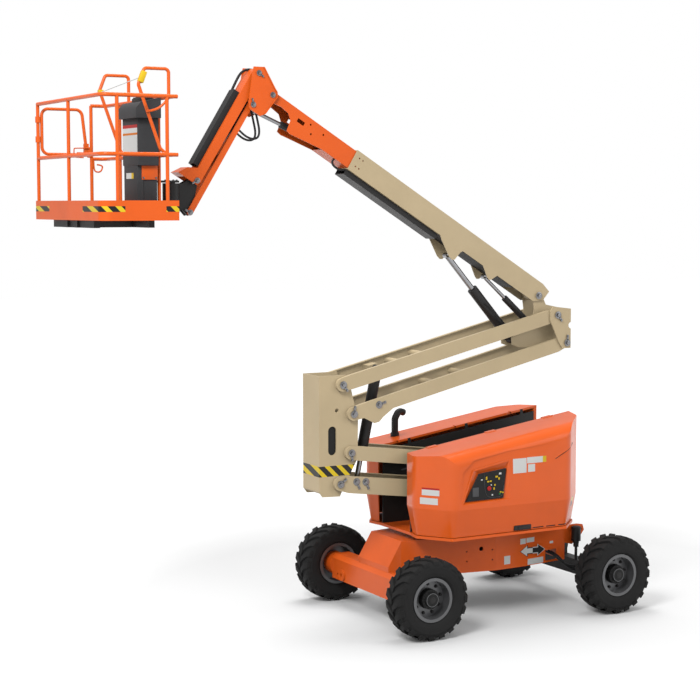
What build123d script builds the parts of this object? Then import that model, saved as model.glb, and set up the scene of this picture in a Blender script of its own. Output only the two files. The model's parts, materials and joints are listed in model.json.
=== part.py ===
# Articulated boom lift, built piece by piece in one machine frame and exported about one shared origin.
# Machine frame in millimetres: X toward the steered axle, Y to the left, Z up, zero on the ground
# under the slew axis.
from build123d import *

import os
from math import atan2, cos, degrees, hypot, radians, sin, sqrt

# Clearances
FIT = 0.3  # around a pin, in a bore and at a slide pad
RUN = 6  # between pieces that move past each other
PLATE = 12  # common plate thickness

# Wheels and axles
WHEELBASE = 2360
TRACK = 2000
TYRE_R = 419
TYRE_W = 300
TYRE_SIDES = 26
LUG_COUNT = 20  # in each of the two rows
LUG_H = 26
LUG_W = 42
LUG_SLANT = 18
RIM_R = 212
RIM_WALL = 16
RIM_LIP = 16
BEAD_W = 224
SPINDLE_R = 45
SPINDLE_L = 60
HUB_R = 125
AXLE_IN = 165  # from a wheel's middle plane to the end of the drive axle's beam
AXLE_BACK = 98
AXLE_FRONT = 110
AXLE_LOW = 280
AXLE_TOP = 550
AXLE_WALL = 14
PIVOT_R = 40
PIVOT_Z = 570
KINGPIN_IN = 260  # from a wheel's middle plane to its king pin
KINGPIN_R = 25
YOKE_LOW = 293
YOKE_TOP = 545
YOKE_T = 26
YOKE_R = 60
STEER_ARM = 150
TIE_ROD_Z = 400
BALL_R = 14
TIE_BORE_R = 22
DRIVE_X = -WHEELBASE / 2
STEER_X = WHEELBASE / 2
AXLE_END = TRACK / 2 - AXLE_IN
KINGPIN_Y = TRACK / 2 - KINGPIN_IN

# Chassis and slew ring
CHASSIS_TOP = 870
CHASSIS_BOTTOM = 480
CHASSIS_STEP = 390
CHASSIS_END = STEER_X - 200
# Holes in each chassis side, as (X, Z, radius)
CHASSIS_HOLES = [(-172, 727, 24), (-337, 706, 9), (-41, 708, 9), (-337, 601, 9), (-40, 599, 9)]
LOCKOUT_X = STEER_X - 80
LOCKOUT_Y = 450
LOCKOUT_R = 30
TIE_STEER = (STEER_X + 15, 390, 800)
TIE_DRIVE = (DRIVE_X - AXLE_BACK, AXLE_END - 235, 350)
RING_H = 50
SPIGOT_R = 420
RING_R = 480
DECK_Z = 925
DECK_T = 28
WEB_X = 1040  # cross web between the turntable's cheeks
WEB_T = 20

# Hoods
HOOD_Y = 304
HOOD_WALL = 24
HOOD_CREASE = 1250
HOOD_BULGE = 50  # how far the lower band leans in below the crease
DECK_LIP = 15
HOOD_FRONT_X = -950
HOOD_FRONT_Z = 1815
HOOD_REAR_X = 1080
HOOD_REAR_Z = 2125
HOOD_SHOULDER = 140
HINGE_Y = 294
HINGE_DROP = 12
HINGE_R = 7
HINGE_AT = (250, 1000, 1750)
HINGE_HALF = 60
HOOD_SIDE = 865
HOOD_PLAN = [(-1000, HOOD_Y), (-1040, 500), (-780, HOOD_SIDE), (700, HOOD_SIDE), (1010, 560), (1085, HOOD_Y)]

# Ground control: recess in the right hood, raised frame and panel, as (X, Z) corners
RECESS = [(-700, 1260), (-660, 1643), (-532, 1758), (-102, 1828), (572, 1883)]
RECESS_DEPTH = 16
FRAME_EDGE = 14
POCKET_DEPTH = 34
PANEL_T = 18
FRAME_CORNERS = [(-658, 1305), (-531, 1648), (-92, 1725), (-69, 1325)]
PANEL_CORNERS = [(-625, 1326), (-457, 1618), (-110, 1654), (-145, 1332)]

# Folding tower: pin positions on the turntable and the two links' length
LINK_L = 2763
LOWER_ANGLE = 7.6
MID_ANGLE = 13.3
T_UP = (1115, 1470)
PIN_GAP = (-130, -316)
MAST_GAP = (-101, 715)
MID_GAP = (129, -311)
MAST_Y = 180
MAST_WALL = 16
RAIL_IN = 186
RAIL_OUT = 226
RISER_IN = 232
RISER_OUT = 248
STUB_IN = 110
PIN_R = 28
LINK_DEPTH = 150
LOWER_DEPTH = 176
RAIL_WALL = 8
LINK_END = 50
TIE_R = 34
TOWER_PIN_X = 545
LIFT_AT = (-452, -275)
MASTER_AT = (-190, -120)

# Main boom, fly and jib
BOOM_ANGLE = 31.4
BOOM_OFF = (-177, 214)
BOOM_Y = 125
BOOM_TOP = 140
BOOM_LOW = -88
BOOM_WALL = 8
BOOM_FRONT = -2760
BOOM_PIN_R = 35
CORE_Y = 106
FLY_GAP = 6
FLY_REAR = -760
FLY_WALL = 7
LIFT_LUG_X = -1191
MASTER_LUG_X = -655
SLAVE_AT = (-2991, 12)
HEAD_X = -3871
HEAD_Z = 83
HEAD_PIN_R = 30
CRANK_A = (-150, 210)
CRANK_AB = (-66, -312)
CRANK_S = (-120, -171)
CRANK_IN = 118
CRANK_OUT = 134
CRANK_RIM = 10
JIB_L = 1250
JIB_ANGLE = 58.3
JIB_Y = 92
JIB_DEPTH = 104
JIB_LINK_Y = 66
JIB_LINK_DEPTH = 62
JIB_PIN_R = 20
JIB_EYE = 1100
LUG_T = 14
ROD_EYE = 8

# Rotator and platform
ROTATOR_OFF = -238
ROTATOR_R = 85
ROTATOR_TOP = -28
ROTATOR_LOW = -290
SHAFT_R = 40
DECK_OFF = -382
PLATFORM_GAP = 307
PLATFORM_X = 760
PLATFORM_Y = 915
TOE_H = 184
TOE_T = 6
FLOOR_T = 8
MID_RAIL = 604
TOP_RAIL = 1154
RAIL_R = 19
RAIL_BEND = 70
POST_R = 17
BACK_R = 18
GATE_L = 580
GATE_DROP = 42
GATE_R = 16
GATE_HINGE_TOP = 109
GATE_HINGE_LOW = 143
LATCH_GAP = 60
GUSSET = (90, 150)
TRIP_R = 16
TRIP_RISE = 240
TRIP_Y = (-750, 250)


def turned(pin, angle, point):
    c, s = cos(radians(angle)), sin(radians(angle))
    return (pin[0] + point[0] * c - point[1] * s, pin[1] + point[0] * s + point[1] * c)


def shifted(pin, gap):
    return (pin[0] + gap[0], pin[1] + gap[1])


# Pin positions at rest, as (X, Z)
T_LOW = shifted(T_UP, PIN_GAP)
P3 = turned(T_UP, -LOWER_ANGLE, (-LINK_L, 0))
P4 = shifted(P3, PIN_GAP)
P1 = shifted(P3, MAST_GAP)
P2 = shifted(P1, MID_GAP)
R_UP = turned(P1, MID_ANGLE, (LINK_L, 0))
BOOM_PIN = shifted(R_UP, BOOM_OFF)
HEAD_PIN = turned(BOOM_PIN, -BOOM_ANGLE, (HEAD_X, HEAD_Z))
JIB_A = shifted(HEAD_PIN, CRANK_A)
JIB_B = shifted(JIB_A, CRANK_AB)
SLAVE_EYE = shifted(HEAD_PIN, CRANK_S)
JIB_C = turned(JIB_A, JIB_ANGLE, (-JIB_L, 0))
JIB_D = shifted(JIB_C, CRANK_AB)
ROTATOR_X = JIB_C[0] + ROTATOR_OFF
FLOOR_Z = JIB_C[1] + DECK_OFF
PLATFORM_BACK = ROTATOR_X - PLATFORM_GAP
PLATFORM_FRONT = PLATFORM_BACK - PLATFORM_X
ORIGIN_X = (PLATFORM_FRONT + WHEELBASE / 2 + TYRE_R) / 2

# Cylinders: base pin and rod eye at rest, barrel and rod sizes, half width and pin radius of the eyes
TOWER_TOP = turned(P1, MID_ANGLE, (TOWER_PIN_X, 0))
TOWER_LOW = turned(P4, -LOWER_ANGLE, (311, 22))
LIFT_BASE = shifted(R_UP, LIFT_AT)
LIFT_EYE = turned(BOOM_PIN, -BOOM_ANGLE, (LIFT_LUG_X, -194))
MASTER_BASE = shifted(R_UP, MASTER_AT)
MASTER_EYE = turned(BOOM_PIN, -BOOM_ANGLE, (MASTER_LUG_X, -148))
JIB_LUG = turned(JIB_A, JIB_ANGLE, (-JIB_EYE, 0))
SLAVE_BASE = turned(BOOM_PIN, -BOOM_ANGLE, SLAVE_AT)
COLUMNS = ("base", "eye", "barrel_l", "barrel_r", "rod_l", "rod_r", "half", "pin_r")
CYLINDER_ROWS = {
    "tower": (TOWER_TOP, TOWER_LOW, 880, 58, 985, 28, 40, 22),
    "lift": (LIFT_BASE, LIFT_EYE, 770, 56, 890, 30, 40, 22),
    "master": (MASTER_BASE, MASTER_EYE, 470, 36, 470, 20, 30, 18),
    "slave": (SLAVE_BASE, SLAVE_EYE, 610, 36, 480, 20, 30, 18),
    "jib": (JIB_B, JIB_LUG, 720, 34, 728, 20, 30, JIB_PIN_R),
}
CYLINDERS = {name: dict(zip(COLUMNS, row)) for name, row in CYLINDER_ROWS.items()}


# Plain shapes
def block(x0, x1, y0, y1, z0, z1):
    return Pos((x0 + x1) / 2, (y0 + y1) / 2, (z0 + z1) / 2) * Box(abs(x1 - x0), abs(y1 - y0), abs(z1 - z0))


def slab(points, y0, y1):
    face = make_face(Polyline(*[(x, y0, z) for x, z in points], close=True))
    return extrude(face, amount=y1 - y0, dir=(0, 1, 0))


def twin(points, y_in, y_out):
    return slab(points, y_in, y_out) + slab(points, -y_out, -y_in)


def pin(at, r, half, start=None):
    low = -half if start is None else start
    return Pos(at[0], (low + half) / 2, at[1]) * Rot(90, 0, 0) * Cylinder(r, half - low)


def post(x, y, r, z0, z1):
    return Pos(x, y, (z0 + z1) / 2) * Cylinder(r, z1 - z0)


def along_x(x0, x1, r, z=0, y=0):
    return Pos((x0 + x1) / 2, y, z) * Rot(0, 90, 0) * Cylinder(r, x1 - x0)


def placed(shape, at, angle):
    return Pos(at[0], 0, at[1]) * Rot(0, -angle, 0) * shape


def both_sides(shape):
    return shape + mirror(shape, about=Plane.XZ)


def bent_bar(points, r, bend):
    path = FilletPolyline(*points, radius=bend)
    return sweep(Plane(origin=path @ 0, z_dir=path % 0) * Circle(r), path=path)


def flat(points, z0, z1):
    face = make_face(Polyline(*[(x, y, z0) for x, y in points], close=True))
    return extrude(face, amount=z1 - z0, dir=(0, 0, 1))


def spun(points):
    face = make_face(Polyline(*[(0, y, r) for y, r in points], close=True))
    return revolve(face, axis=Axis.Y)


def side_face(points, y):
    return make_face(Polyline(*[(x, y, z) for x, z in points], close=True))


def ring_face(y, r, outer=True):
    plane = Plane(origin=(0, y, 0), x_dir=(1, 0, 0), z_dir=(0, 1, 0))
    return plane * RegularPolygon(r, TYRE_SIDES, major_radius=outer)


# Wheels: a many-sided carcass with two staggered rows of slanted lugs, whose lowest corner is straight down
def lug(root):
    inner, outer = RUN / 2, TYRE_W / 2 - RUN
    middle = (inner + outer) / 2
    half = outer - middle
    slant = radians(LUG_SLANT)
    reach = half * sin(slant) + LUG_W / 2 * cos(slant)
    top = sqrt(TYRE_R**2 - reach**2)
    outline = [(-half, root - 10), (-half, top), (half - 23, top - 6), (half, root - 66)]
    face = make_face(Polyline(*[(0, y, z) for y, z in outline], close=True))
    bar = Pos(0, middle, 0) * Rot(0, 0, LUG_SLANT) * extrude(face, amount=LUG_W / 2, both=True)
    return Rot(0, -degrees(atan2(reach, top)), 0) * bar


def tyre():
    half, bead, root = TYRE_W / 2, BEAD_W / 2, TYRE_R - LUG_H
    side = [(half - 32, root), (half, root - 90), (bead, RIM_R + 26)]
    rings = [ring_face(-y, r) for y, r in reversed(side)] + [ring_face(y, r) for y, r in side]
    carcass = loft(rings, ruled=True)
    bore = extrude(ring_face(-half, RIM_R + FIT, outer=False), amount=TYRE_W, dir=(0, 1, 0))
    bar = lug(root)
    mate = mirror(bar, about=Plane.XZ)
    pitch = 360 / LUG_COUNT
    rows = [Rot(0, i * pitch, 0) * bar for i in range(LUG_COUNT)]
    rows += [Rot(0, (i + 0.5) * pitch, 0) * mate for i in range(LUG_COUNT)]
    return carcass - bore + rows


def rim():
    edge = BEAD_W / 2 + FIT
    lip = edge + 10
    bore = RIM_R - RIM_WALL
    bead = RIM_R + RIM_LIP
    outer = [(-lip, bore), (-lip, bead), (-edge, bead), (-edge, RIM_R)]
    outer += [(-y, r) for y, r in reversed(outer)]
    hub = [(12, bore - 8), (12, 104), (78, 100), (78, 74), (112, 70), (112, 0), (SPINDLE_L, 0)]
    hub += [(SPINDLE_L, SPINDLE_R), (-6, SPINDLE_R), (-6, bore - 8)]
    return spun(outer + hub)


def at_wheel(shape, x, side):
    wheel = shape if side > 0 else mirror(shape, about=Plane.XZ)
    return Pos(x, side * TRACK / 2, TYRE_R) * wheel


# Chassis: side view and plan are crossed, then hollowed from below
def chassis_body(inset):
    top = CHASSIS_TOP - inset
    hollow = inset > 0
    low = CHASSIS_BOTTOM - 200 if hollow else CHASSIS_BOTTOM
    step = low if hollow else CHASSIS_STEP
    saddle = DRIVE_X + AXLE_FRONT
    back = DRIVE_X - 55 + inset
    view = [(back, AXLE_TOP), (back, AXLE_TOP + 57), (back + 160, top), (CHASSIS_END - inset, top)]
    view += [(CHASSIS_END - inset, step), (CHASSIS_END - 260, step), (CHASSIS_END - 310, low), (saddle, low)]
    view += [(saddle, AXLE_TOP)]
    plan = [(DRIVE_X - 80, 320 - inset), (DRIVE_X + 100, 320 - inset), (-500, 420 - inset), (0, 500 - inset)]
    plan += [(400, 480 - inset), (CHASSIS_END, 400 - inset)]
    plan += [(x, -y) for x, y in reversed(plan)]
    return slab(view, -TRACK / 2, TRACK / 2) & flat(plan, low, CHASSIS_TOP + RING_H)


def chassis_frame():
    nose = block(CHASSIS_END - PLATE, STEER_X - 90, -150, 150, 500, 760)
    pivot = along_x(STEER_X - 120, STEER_X + 95, PIVOT_R, z=PIVOT_Z)
    outline = [(-280, 690), (-100, 640), (20, 730), (65, 790), (45, 850), (-20, 862), (-280, 862)]
    lug_plate = slab([(STEER_X + x, z) for x, z in outline], TIE_STEER[1] - 10, TIE_STEER[1] + 10)
    lug_plate -= pin((TIE_STEER[0], TIE_STEER[2]), TIE_BORE_R, TRACK / 2)
    saddle = block(LOCKOUT_X - 40, LOCKOUT_X + 40, TIE_STEER[1] + 10, LOCKOUT_Y - LOCKOUT_R, 720, 800)
    body = chassis_body(0) - chassis_body(PLATE)
    webs = [block(x, x + PLATE, -390, 390, CHASSIS_BOTTOM, CHASSIS_TOP - PLATE) for x in (-560, 560)]
    body += [web & chassis_body(0) for web in webs]
    for x, z, r in CHASSIS_HOLES:
        body -= both_sides(pin((x, z), r, TRACK / 2, start=300))
    body -= both_sides(block(CHASSIS_END - 289, CHASSIS_END - 128, 300, 700, 500, 617))
    return body + nose + pivot + both_sides(lug_plate + saddle)


def stub(x):
    end = TRACK / 2 + SPINDLE_L - RUN
    return Pos(0, 0, TYRE_R) * pin((x, 0), SPINDLE_R - FIT, end, start=TRACK / 2 - 60)


def drive_axle():
    x0, x1, z0, z1 = DRIVE_X - AXLE_BACK, DRIVE_X + AXLE_FRONT, AXLE_LOW, AXLE_TOP
    t = AXLE_WALL
    view = [(x0, z0), (x1, z0), (x1, z1), (x0 + 45, z1), (x0, z1 - 45)]
    inner = [(x0 + t, z0 + t), (x1 - t, z0 + t), (x1 - t, z1 - t), (x0 + 52, z1 - t), (x0 + t, z1 - 52)]
    beam = slab(view, -AXLE_END, AXLE_END) - slab(inner, -AXLE_END + 20, AXLE_END - 20)
    _, tie_y, tie_z = TIE_DRIVE
    boss = along_x(x0 - 20, x0 + 4, 62, z=tie_z, y=tie_y)
    bore = along_x(x0 - 60, x0 + 40, TIE_BORE_R, z=tie_z, y=tie_y)
    slot = block(x0 - 40, x0 + 40, tie_y + 90, tie_y + 130, tie_z - 20, tie_z)
    hub = Pos(0, 0, TYRE_R) * pin((DRIVE_X, 0), HUB_R, TRACK / 2 - RUN * 2, start=AXLE_END - 10)
    return beam + both_sides(boss + hub + stub(DRIVE_X)) - both_sides(bore + slot)


def steer_axle():
    x = STEER_X
    end = KINGPIN_Y - 130
    beam = block(x - 70, x + 70, -end, end, 305, 470)
    boss = along_x(x - 80, x + 80, PIVOT_R + 50, z=PIVOT_Z) + block(x - 70, x + 70, -90, 90, 460, PIVOT_Z)
    boss -= along_x(x - 200, x + 200, PIVOT_R + FIT, z=PIVOT_Z)
    yoke = block(x - YOKE_R, x + YOKE_R, end - 40, end, YOKE_LOW, YOKE_TOP)
    yoke += post(x, KINGPIN_Y, KINGPIN_R, YOKE_LOW, YOKE_TOP + 5)
    for z in (YOKE_LOW, YOKE_TOP - YOKE_T):
        yoke += block(x - YOKE_R, x + YOKE_R, end - 40, KINGPIN_Y, z, z + YOKE_T)
        yoke += post(x, KINGPIN_Y, YOKE_R, z, z + YOKE_T)
    return beam + boss + both_sides(yoke)


def knuckle():
    x = STEER_X
    inner = TRACK / 2 - RUN * 2
    tube = post(x, KINGPIN_Y, 54, YOKE_LOW + YOKE_T + RUN, YOKE_TOP - YOKE_T - RUN)
    spindle = Pos(0, 0, TYRE_R) * pin((x, 0), 70, inner, start=KINGPIN_Y + 20)
    flange = Pos(0, 0, TYRE_R) * pin((x, 0), 120, inner, start=TRACK / 2 - 90)
    low, high = TIE_ROD_Z - 48, TIE_ROD_Z - 22
    arm = block(x, x + STEER_ARM, KINGPIN_Y - 26, KINGPIN_Y + 26, low, high)
    arm += post(x + STEER_ARM, KINGPIN_Y, 26, low, high)
    arm += post(x + STEER_ARM, KINGPIN_Y, BALL_R, high, TIE_ROD_Z + 20)
    return tube + spindle + flange + stub(x) + arm - post(x, KINGPIN_Y, KINGPIN_R + FIT, 0, TYRE_R * 2)


def tie_rod():
    x = STEER_X + STEER_ARM
    bar = Pos(0, 0, TIE_ROD_Z) * pin((x, 0), 13, KINGPIN_Y - 10)
    for side in (1, -1):
        bar += post(x, side * KINGPIN_Y, 30, TIE_ROD_Z - 16, TIE_ROD_Z + 16)
        bar -= post(x, side * KINGPIN_Y, BALL_R + FIT, TIE_ROD_Z - 100, TIE_ROD_Z + 100)
    return bar


def lockout_cylinders():
    rod = post(LOCKOUT_X, LOCKOUT_Y, 16, 470, 640)
    tube = post(LOCKOUT_X, LOCKOUT_Y, LOCKOUT_R, 620, 850)
    collar = post(LOCKOUT_X, LOCKOUT_Y, LOCKOUT_R + 6, 830, 850)
    return both_sides(rod + tube + collar)


def slew_ring():
    ring = post(0, 0, RING_R, CHASSIS_TOP, CHASSIS_TOP + RING_H)
    return ring - post(0, 0, SPIGOT_R + FIT, CHASSIS_TOP - 5, CHASSIS_TOP + RING_H + 5)


# Turntable
def turntable_frame():
    outline = HOOD_PLAN + [(x, -y) for x, y in reversed(HOOD_PLAN)]
    sketch = offset(make_face(Polyline(*outline, close=True)), DECK_LIP - HOOD_BULGE, kind=Kind.INTERSECTION)
    deck = extrude(Pos(0, 0, DECK_Z) * sketch, amount=DECK_T)
    spigot = post(0, 0, SPIGOT_R, CHASSIS_TOP + RUN, DECK_Z)
    spigot -= post(0, 0, SPIGOT_R - 60, CHASSIS_TOP, DECK_Z - 10)
    top = DECK_Z + DECK_T
    x, z = T_UP
    cheek = [(x - 335, top), (x - 35, top), (x + 50, z - 90), (x + 50, z + 30), (x + 15, z + 60)]
    cheek += [(x - 55, z + 60), (x - 185, z - 230), (x - 335, top + 127)]
    web = block(WEB_X, WEB_X + WEB_T, -160, 160, top, top + 87)
    pins = [pin(at, PIN_R, RAIL_OUT + 8) for at in (T_UP, T_LOW)]
    return deck + spigot + twin(cheek, 150, RAIL_IN - RUN) + web + pins


def hood_top_angle():
    return degrees(atan2(HOOD_REAR_Z - HOOD_FRONT_Z, HOOD_REAR_X - HOOD_FRONT_X))


def inner_panels():
    rise = (HOOD_REAR_Z - HOOD_FRONT_Z) / (HOOD_REAR_X - HOOD_FRONT_X)
    z0 = DECK_Z + DECK_T
    x0, x1 = HOOD_PLAN[0][0] + HOOD_BULGE, HOOD_PLAN[-1][0] - HOOD_BULGE
    top = [HOOD_FRONT_Z - 60 + rise * (x - HOOD_FRONT_X) for x in (x0, x1)]
    panels = twin([(x0, z0), (x1, z0), (x1, top[1]), (x0, top[0])], HOOD_Y - RUN - PLATE, HOOD_Y - RUN)
    for x in HINGE_AT:
        end = x + HINGE_HALF
        ear = block(end + 2, end + 40, HOOD_Y - RUN - PLATE, HOOD_Y - RUN, -90, -HINGE_DROP + 6)
        ear += along_x(x - HINGE_HALF, end + 40, HINGE_R, z=-HINGE_DROP, y=HINGE_Y)
        panels += both_sides(placed(ear, (HOOD_FRONT_X, HOOD_FRONT_Z), hood_top_angle()))
    return panels


def hood_shape(inset, y_open, z_open):
    upper = [(HOOD_PLAN[0][0], HOOD_Y - y_open)] + HOOD_PLAN[1:-1] + [(HOOD_PLAN[-1][0], HOOD_Y - y_open)]
    sketch = make_face(Polyline(*upper, close=True))
    corners = sketch.vertices().filter_by(lambda v: v.Y > HOOD_Y + 10)
    sketch = fillet(corners, HOOD_SHOULDER)
    sketch = offset(sketch, -inset, kind=Kind.INTERSECTION) if inset else sketch
    lower = offset(sketch, -HOOD_BULGE, kind=Kind.INTERSECTION)
    z0 = DECK_Z + DECK_T + RUN - z_open
    band = loft([Pos(0, 0, z0) * lower, Pos(0, 0, HOOD_CREASE) * sketch], ruled=True)
    solid = band + extrude(Pos(0, 0, HOOD_CREASE) * sketch, amount=1200)
    edge = HOOD_SIDE - inset
    roof = [(0, 0 - inset), (edge, -14 - inset), (edge, -1500), (0, -1500)]
    face = make_face(Polyline(*[(0, y, z) for y, z in roof], close=True))
    bend = face.vertices().sort_by_distance((0, edge, -14 - inset))[0]
    face = fillet(bend, HOOD_SHOULDER - inset)
    prism = extrude(face, amount=2600, dir=(1, 0, 0)) + extrude(face, amount=600, dir=(-1, 0, 0))
    return solid & placed(prism, (HOOD_FRONT_X, HOOD_FRONT_Z), hood_top_angle())


def hood():
    shell = hood_shape(0, 0, 0) - hood_shape(HOOD_WALL, 3 * HOOD_WALL, 60)
    for x in HINGE_AT:
        tab = block(x - HINGE_HALF, x + HINGE_HALF, HINGE_Y - 11, HOOD_Y + 40, -HOOD_WALL, 0)
        tab -= along_x(x - HINGE_HALF - 5, x + HINGE_HALF + 5, HINGE_R + FIT, z=-HINGE_DROP, y=HINGE_Y)
        shell += placed(tab, (HOOD_FRONT_X, HOOD_FRONT_Z), hood_top_angle())
    return shell


def grown(points, y, amount):
    return offset(side_face(points, y), amount, kind=Kind.INTERSECTION)


def sunk(face, depth):
    return extrude(face, amount=depth, dir=(0, -1, 0))


def hood_recess():
    proud = HOOD_SIDE + RUN
    area = sunk(side_face(RECESS, proud), RUN + HOOD_WALL)
    area -= sunk(grown(FRAME_CORNERS, proud, FRAME_EDGE), RUN + HOOD_WALL)
    low, _, deep, _, high = [Vector(x, HOOD_SIDE, z) for x, z in RECESS]
    deep -= Vector(0, RECESS_DEPTH, 0)
    slope = Plane(origin=low, x_dir=high - low, z_dir=(deep - low).cross(high - low))
    return split(area, bisect_by=slope, keep=Keep.TOP)


def control_hood():
    shell = hood() - hood_recess()
    shell += sunk(grown(FRAME_CORNERS, HOOD_SIDE - HOOD_WALL + 2, FRAME_EDGE), POCKET_DEPTH)
    mouth = side_face(FRAME_CORNERS, HOOD_SIDE + FIT)
    return shell - loft([mouth, side_face(PANEL_CORNERS, HOOD_SIDE - POCKET_DEPTH)], ruled=True)


def counterweight():
    z0 = DECK_Z + DECK_T
    side = flat([(560, 320), (560, 700), (820, 600), (950, 440), (985, 320)], z0, 1640)
    centre = block(WEB_X + WEB_T, T_UP[0] + 30, -145, 145, z0, 1320)
    return both_sides(side) + centre


def engine_block():
    z0 = DECK_Z + DECK_T
    return block(-560, 120, 330, 700, z0 + 40, 1480) + block(-500, 60, 360, 660, z0, z0 + 40)


def exhaust():
    x, y, z = -640, 560, 1840
    path = [(x, y, z), (x, y, z + 205), (x + 55, y + 14, z + 285), (x + 130, y + 34, z + 262)]
    return bent_bar(path, 38, 56) + post(x, y, 48, z - 4, z + 50) - hood_shape(0, 0, 0)


def ground_control():
    return sunk(grown(PANEL_CORNERS, HOOD_SIDE - POCKET_DEPTH + PANEL_T, -RUN), PANEL_T)


# Tower links: two channel rails joined by tubes, open toward the middle
def rail_link(depth, ties, ends):
    half = depth / 2
    near, far = ends
    rail = slab([(0, -near), (110, -half), (LINK_L - 110, -half), (LINK_L, -far)]
                + [(LINK_L, far), (LINK_L - 110, half), (110, half), (0, near)], RAIL_IN, RAIL_OUT)
    rail += pin((0, 0), near, RAIL_OUT, start=RAIL_IN) + pin((LINK_L, 0), far, RAIL_OUT, start=RAIL_IN)
    rail -= block(170, LINK_L - 170, RAIL_IN - 5, RAIL_OUT - RAIL_WALL, -half + RAIL_WALL, half - RAIL_WALL)
    link = both_sides(rail)
    for x in ties:
        link += pin((x, 0), TIE_R, RAIL_OUT - RAIL_WALL / 2)
    for x in (0, LINK_L):
        link -= pin((x, 0), PIN_R + FIT, RAIL_OUT + 50)
    return link


def lower_boom():
    return placed(rail_link(LOWER_DEPTH, (900, 1750), (70, 60)), P4, -LOWER_ANGLE)


def lower_link():
    return placed(rail_link(LINK_DEPTH, (900, 1750), (70, 50)), P3, -LOWER_ANGLE)


def mid_boom():
    link = rail_link(LINK_DEPTH, (1105, 1500), (70, LINK_END))
    belly = twin([(90, -60), (150, -110), (215, -165), (275, -165), (330, -130), (480, -70), (480, -40)],
                 RAIL_OUT - RAIL_WALL, RAIL_OUT)
    return placed(link + belly, P2, MID_ANGLE)


def mid_link():
    link = rail_link(LINK_DEPTH, (800, 1105), (70, LINK_END))
    spec = CYLINDERS["tower"]
    x0, x1 = TOWER_PIN_X - 50, TOWER_PIN_X + 50
    cheek = twin([(x0, -40), (x1, -40), (x1, 40), (x0, 40)], spec["barrel_r"] + RUN, RAIL_OUT - RAIL_WALL / 2)
    return placed(link + cheek + pin((TOWER_PIN_X, 0), spec["pin_r"], RAIL_OUT - 1), P1, MID_ANGLE)


def upright():
    side = [(-355, 811), (-40, 811), (12, 690), (103, 324), (98, 63), (87, -88), (26, -195), (-84, -394)]
    side += [(-113, -453), (-315, -445), (-355, -391)]
    inside = MAST_Y - MAST_WALL
    shell = slab(side, -MAST_Y, MAST_Y) - block(MAST_WALL - 359, 300, -inside, inside, -600, 900)
    slot = Pos(-203, 0, 134) * extrude(Plane.XZ * SlotOverall(300, 95, rotation=90), amount=400, both=True)
    shell -= slot + pin((-149, 447), 22, 400)
    for at in ((0, 0), PIN_GAP, MAST_GAP, shifted(MAST_GAP, MID_GAP)):
        shell += both_sides(pin(at, PIN_R, RAIL_OUT + 8, start=STUB_IN))
    for z in (-300, 560):
        shell += block(-350, -160, -170, 170, z, z + PLATE)
    return placed(shell, P3, 0)


def riser():
    cheek = [(-95, 40), (-60, 95), (180, 65), (180, -372), (70, -372), (20, -300), (-95, -60)]
    body = twin(cheek, RISER_IN, RISER_OUT) - pin((185, -120), 36, 400)
    core = [(-235, 190), (-225, 250), (-177, 274), (-130, 255), (-60, 110), (180, 60), (180, -200)]
    core += [(100, -372), (-80, -372), (-420, -350), (-510, -320), (-515, -240)]
    core += [(-420, -215), (-240, -60), (-215, 60)]
    body += twin(core, CORE_Y - PLATE, CORE_Y) + block(164, 180, -RISER_OUT, RISER_OUT, -80, 65)
    body += block(164, 180, -RISER_OUT, RISER_OUT, -215, -160)
    body += pin(BOOM_OFF, BOOM_PIN_R, BOOM_Y + 12) + pin(BOOM_OFF, 58, CORE_Y)
    body += pin((0, 0), PIN_R, RISER_OUT + 8) + pin(MID_GAP, PIN_R, RISER_OUT + 8)
    for name, spot in (("lift", LIFT_AT), ("master", MASTER_AT)):
        body += pin(spot, CYLINDERS[name]["pin_r"], CORE_Y - 2)
    return placed(body, R_UP, 0)


# Main boom, built along its own axis with the head toward minus X
def main_boom():
    side = [(BOOM_FRONT, BOOM_TOP), (-10, BOOM_TOP), (106, 110), (84, -10), (-24, BOOM_LOW)]
    side += [(BOOM_FRONT, BOOM_LOW)]
    inner_low = BOOM_LOW + BOOM_WALL
    boom = slab(side, -BOOM_Y, BOOM_Y)
    clear = BOOM_Y - BOOM_WALL
    boom -= block(BOOM_FRONT - 5, -330, -clear, clear, inner_low, BOOM_TOP - BOOM_WALL)
    boom -= block(-331, 200, -clear, clear, BOOM_LOW - 50, BOOM_TOP - BOOM_WALL)
    seam = BOOM_LOW + 4
    front = [(-253, seam), (-209, -122), (-34, -225), (13, -236), (41, -220), (65, -118), (86, seam)]
    rear = [(-152, seam), (-35, -166), (0, -180), (25, -166), (73, seam)]
    for eye_x, outline in ((LIFT_LUG_X, front), (MASTER_LUG_X, rear)):
        boom += twin([(eye_x + x, z) for x, z in outline], clear, BOOM_Y)
    for z0, z1 in ((BOOM_TOP - BOOM_WALL - FLY_GAP + FIT, BOOM_TOP), (BOOM_LOW, inner_low + FLY_GAP - FIT)):
        boom += block(BOOM_FRONT + 5, BOOM_FRONT + 115, -80, 80, z0, z1)
    for x, z in ((65, 78), (112, 78), (65, -18), (112, -18)):
        boom -= pin((BOOM_FRONT + x, z), 9, BOOM_Y + 50)
    boom -= pin((0, 0), BOOM_PIN_R + FIT, BOOM_Y + 50)
    return placed(boom, BOOM_PIN, -BOOM_ANGLE)


def boom_tray():
    tray = block(BOOM_FRONT, -1460, -95, 95, BOOM_LOW - 60, BOOM_LOW)
    tray -= block(BOOM_FRONT - 5, -1450, -89, 89, BOOM_LOW - 54, BOOM_LOW - 6)
    return placed(tray, BOOM_PIN, -BOOM_ANGLE)


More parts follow.
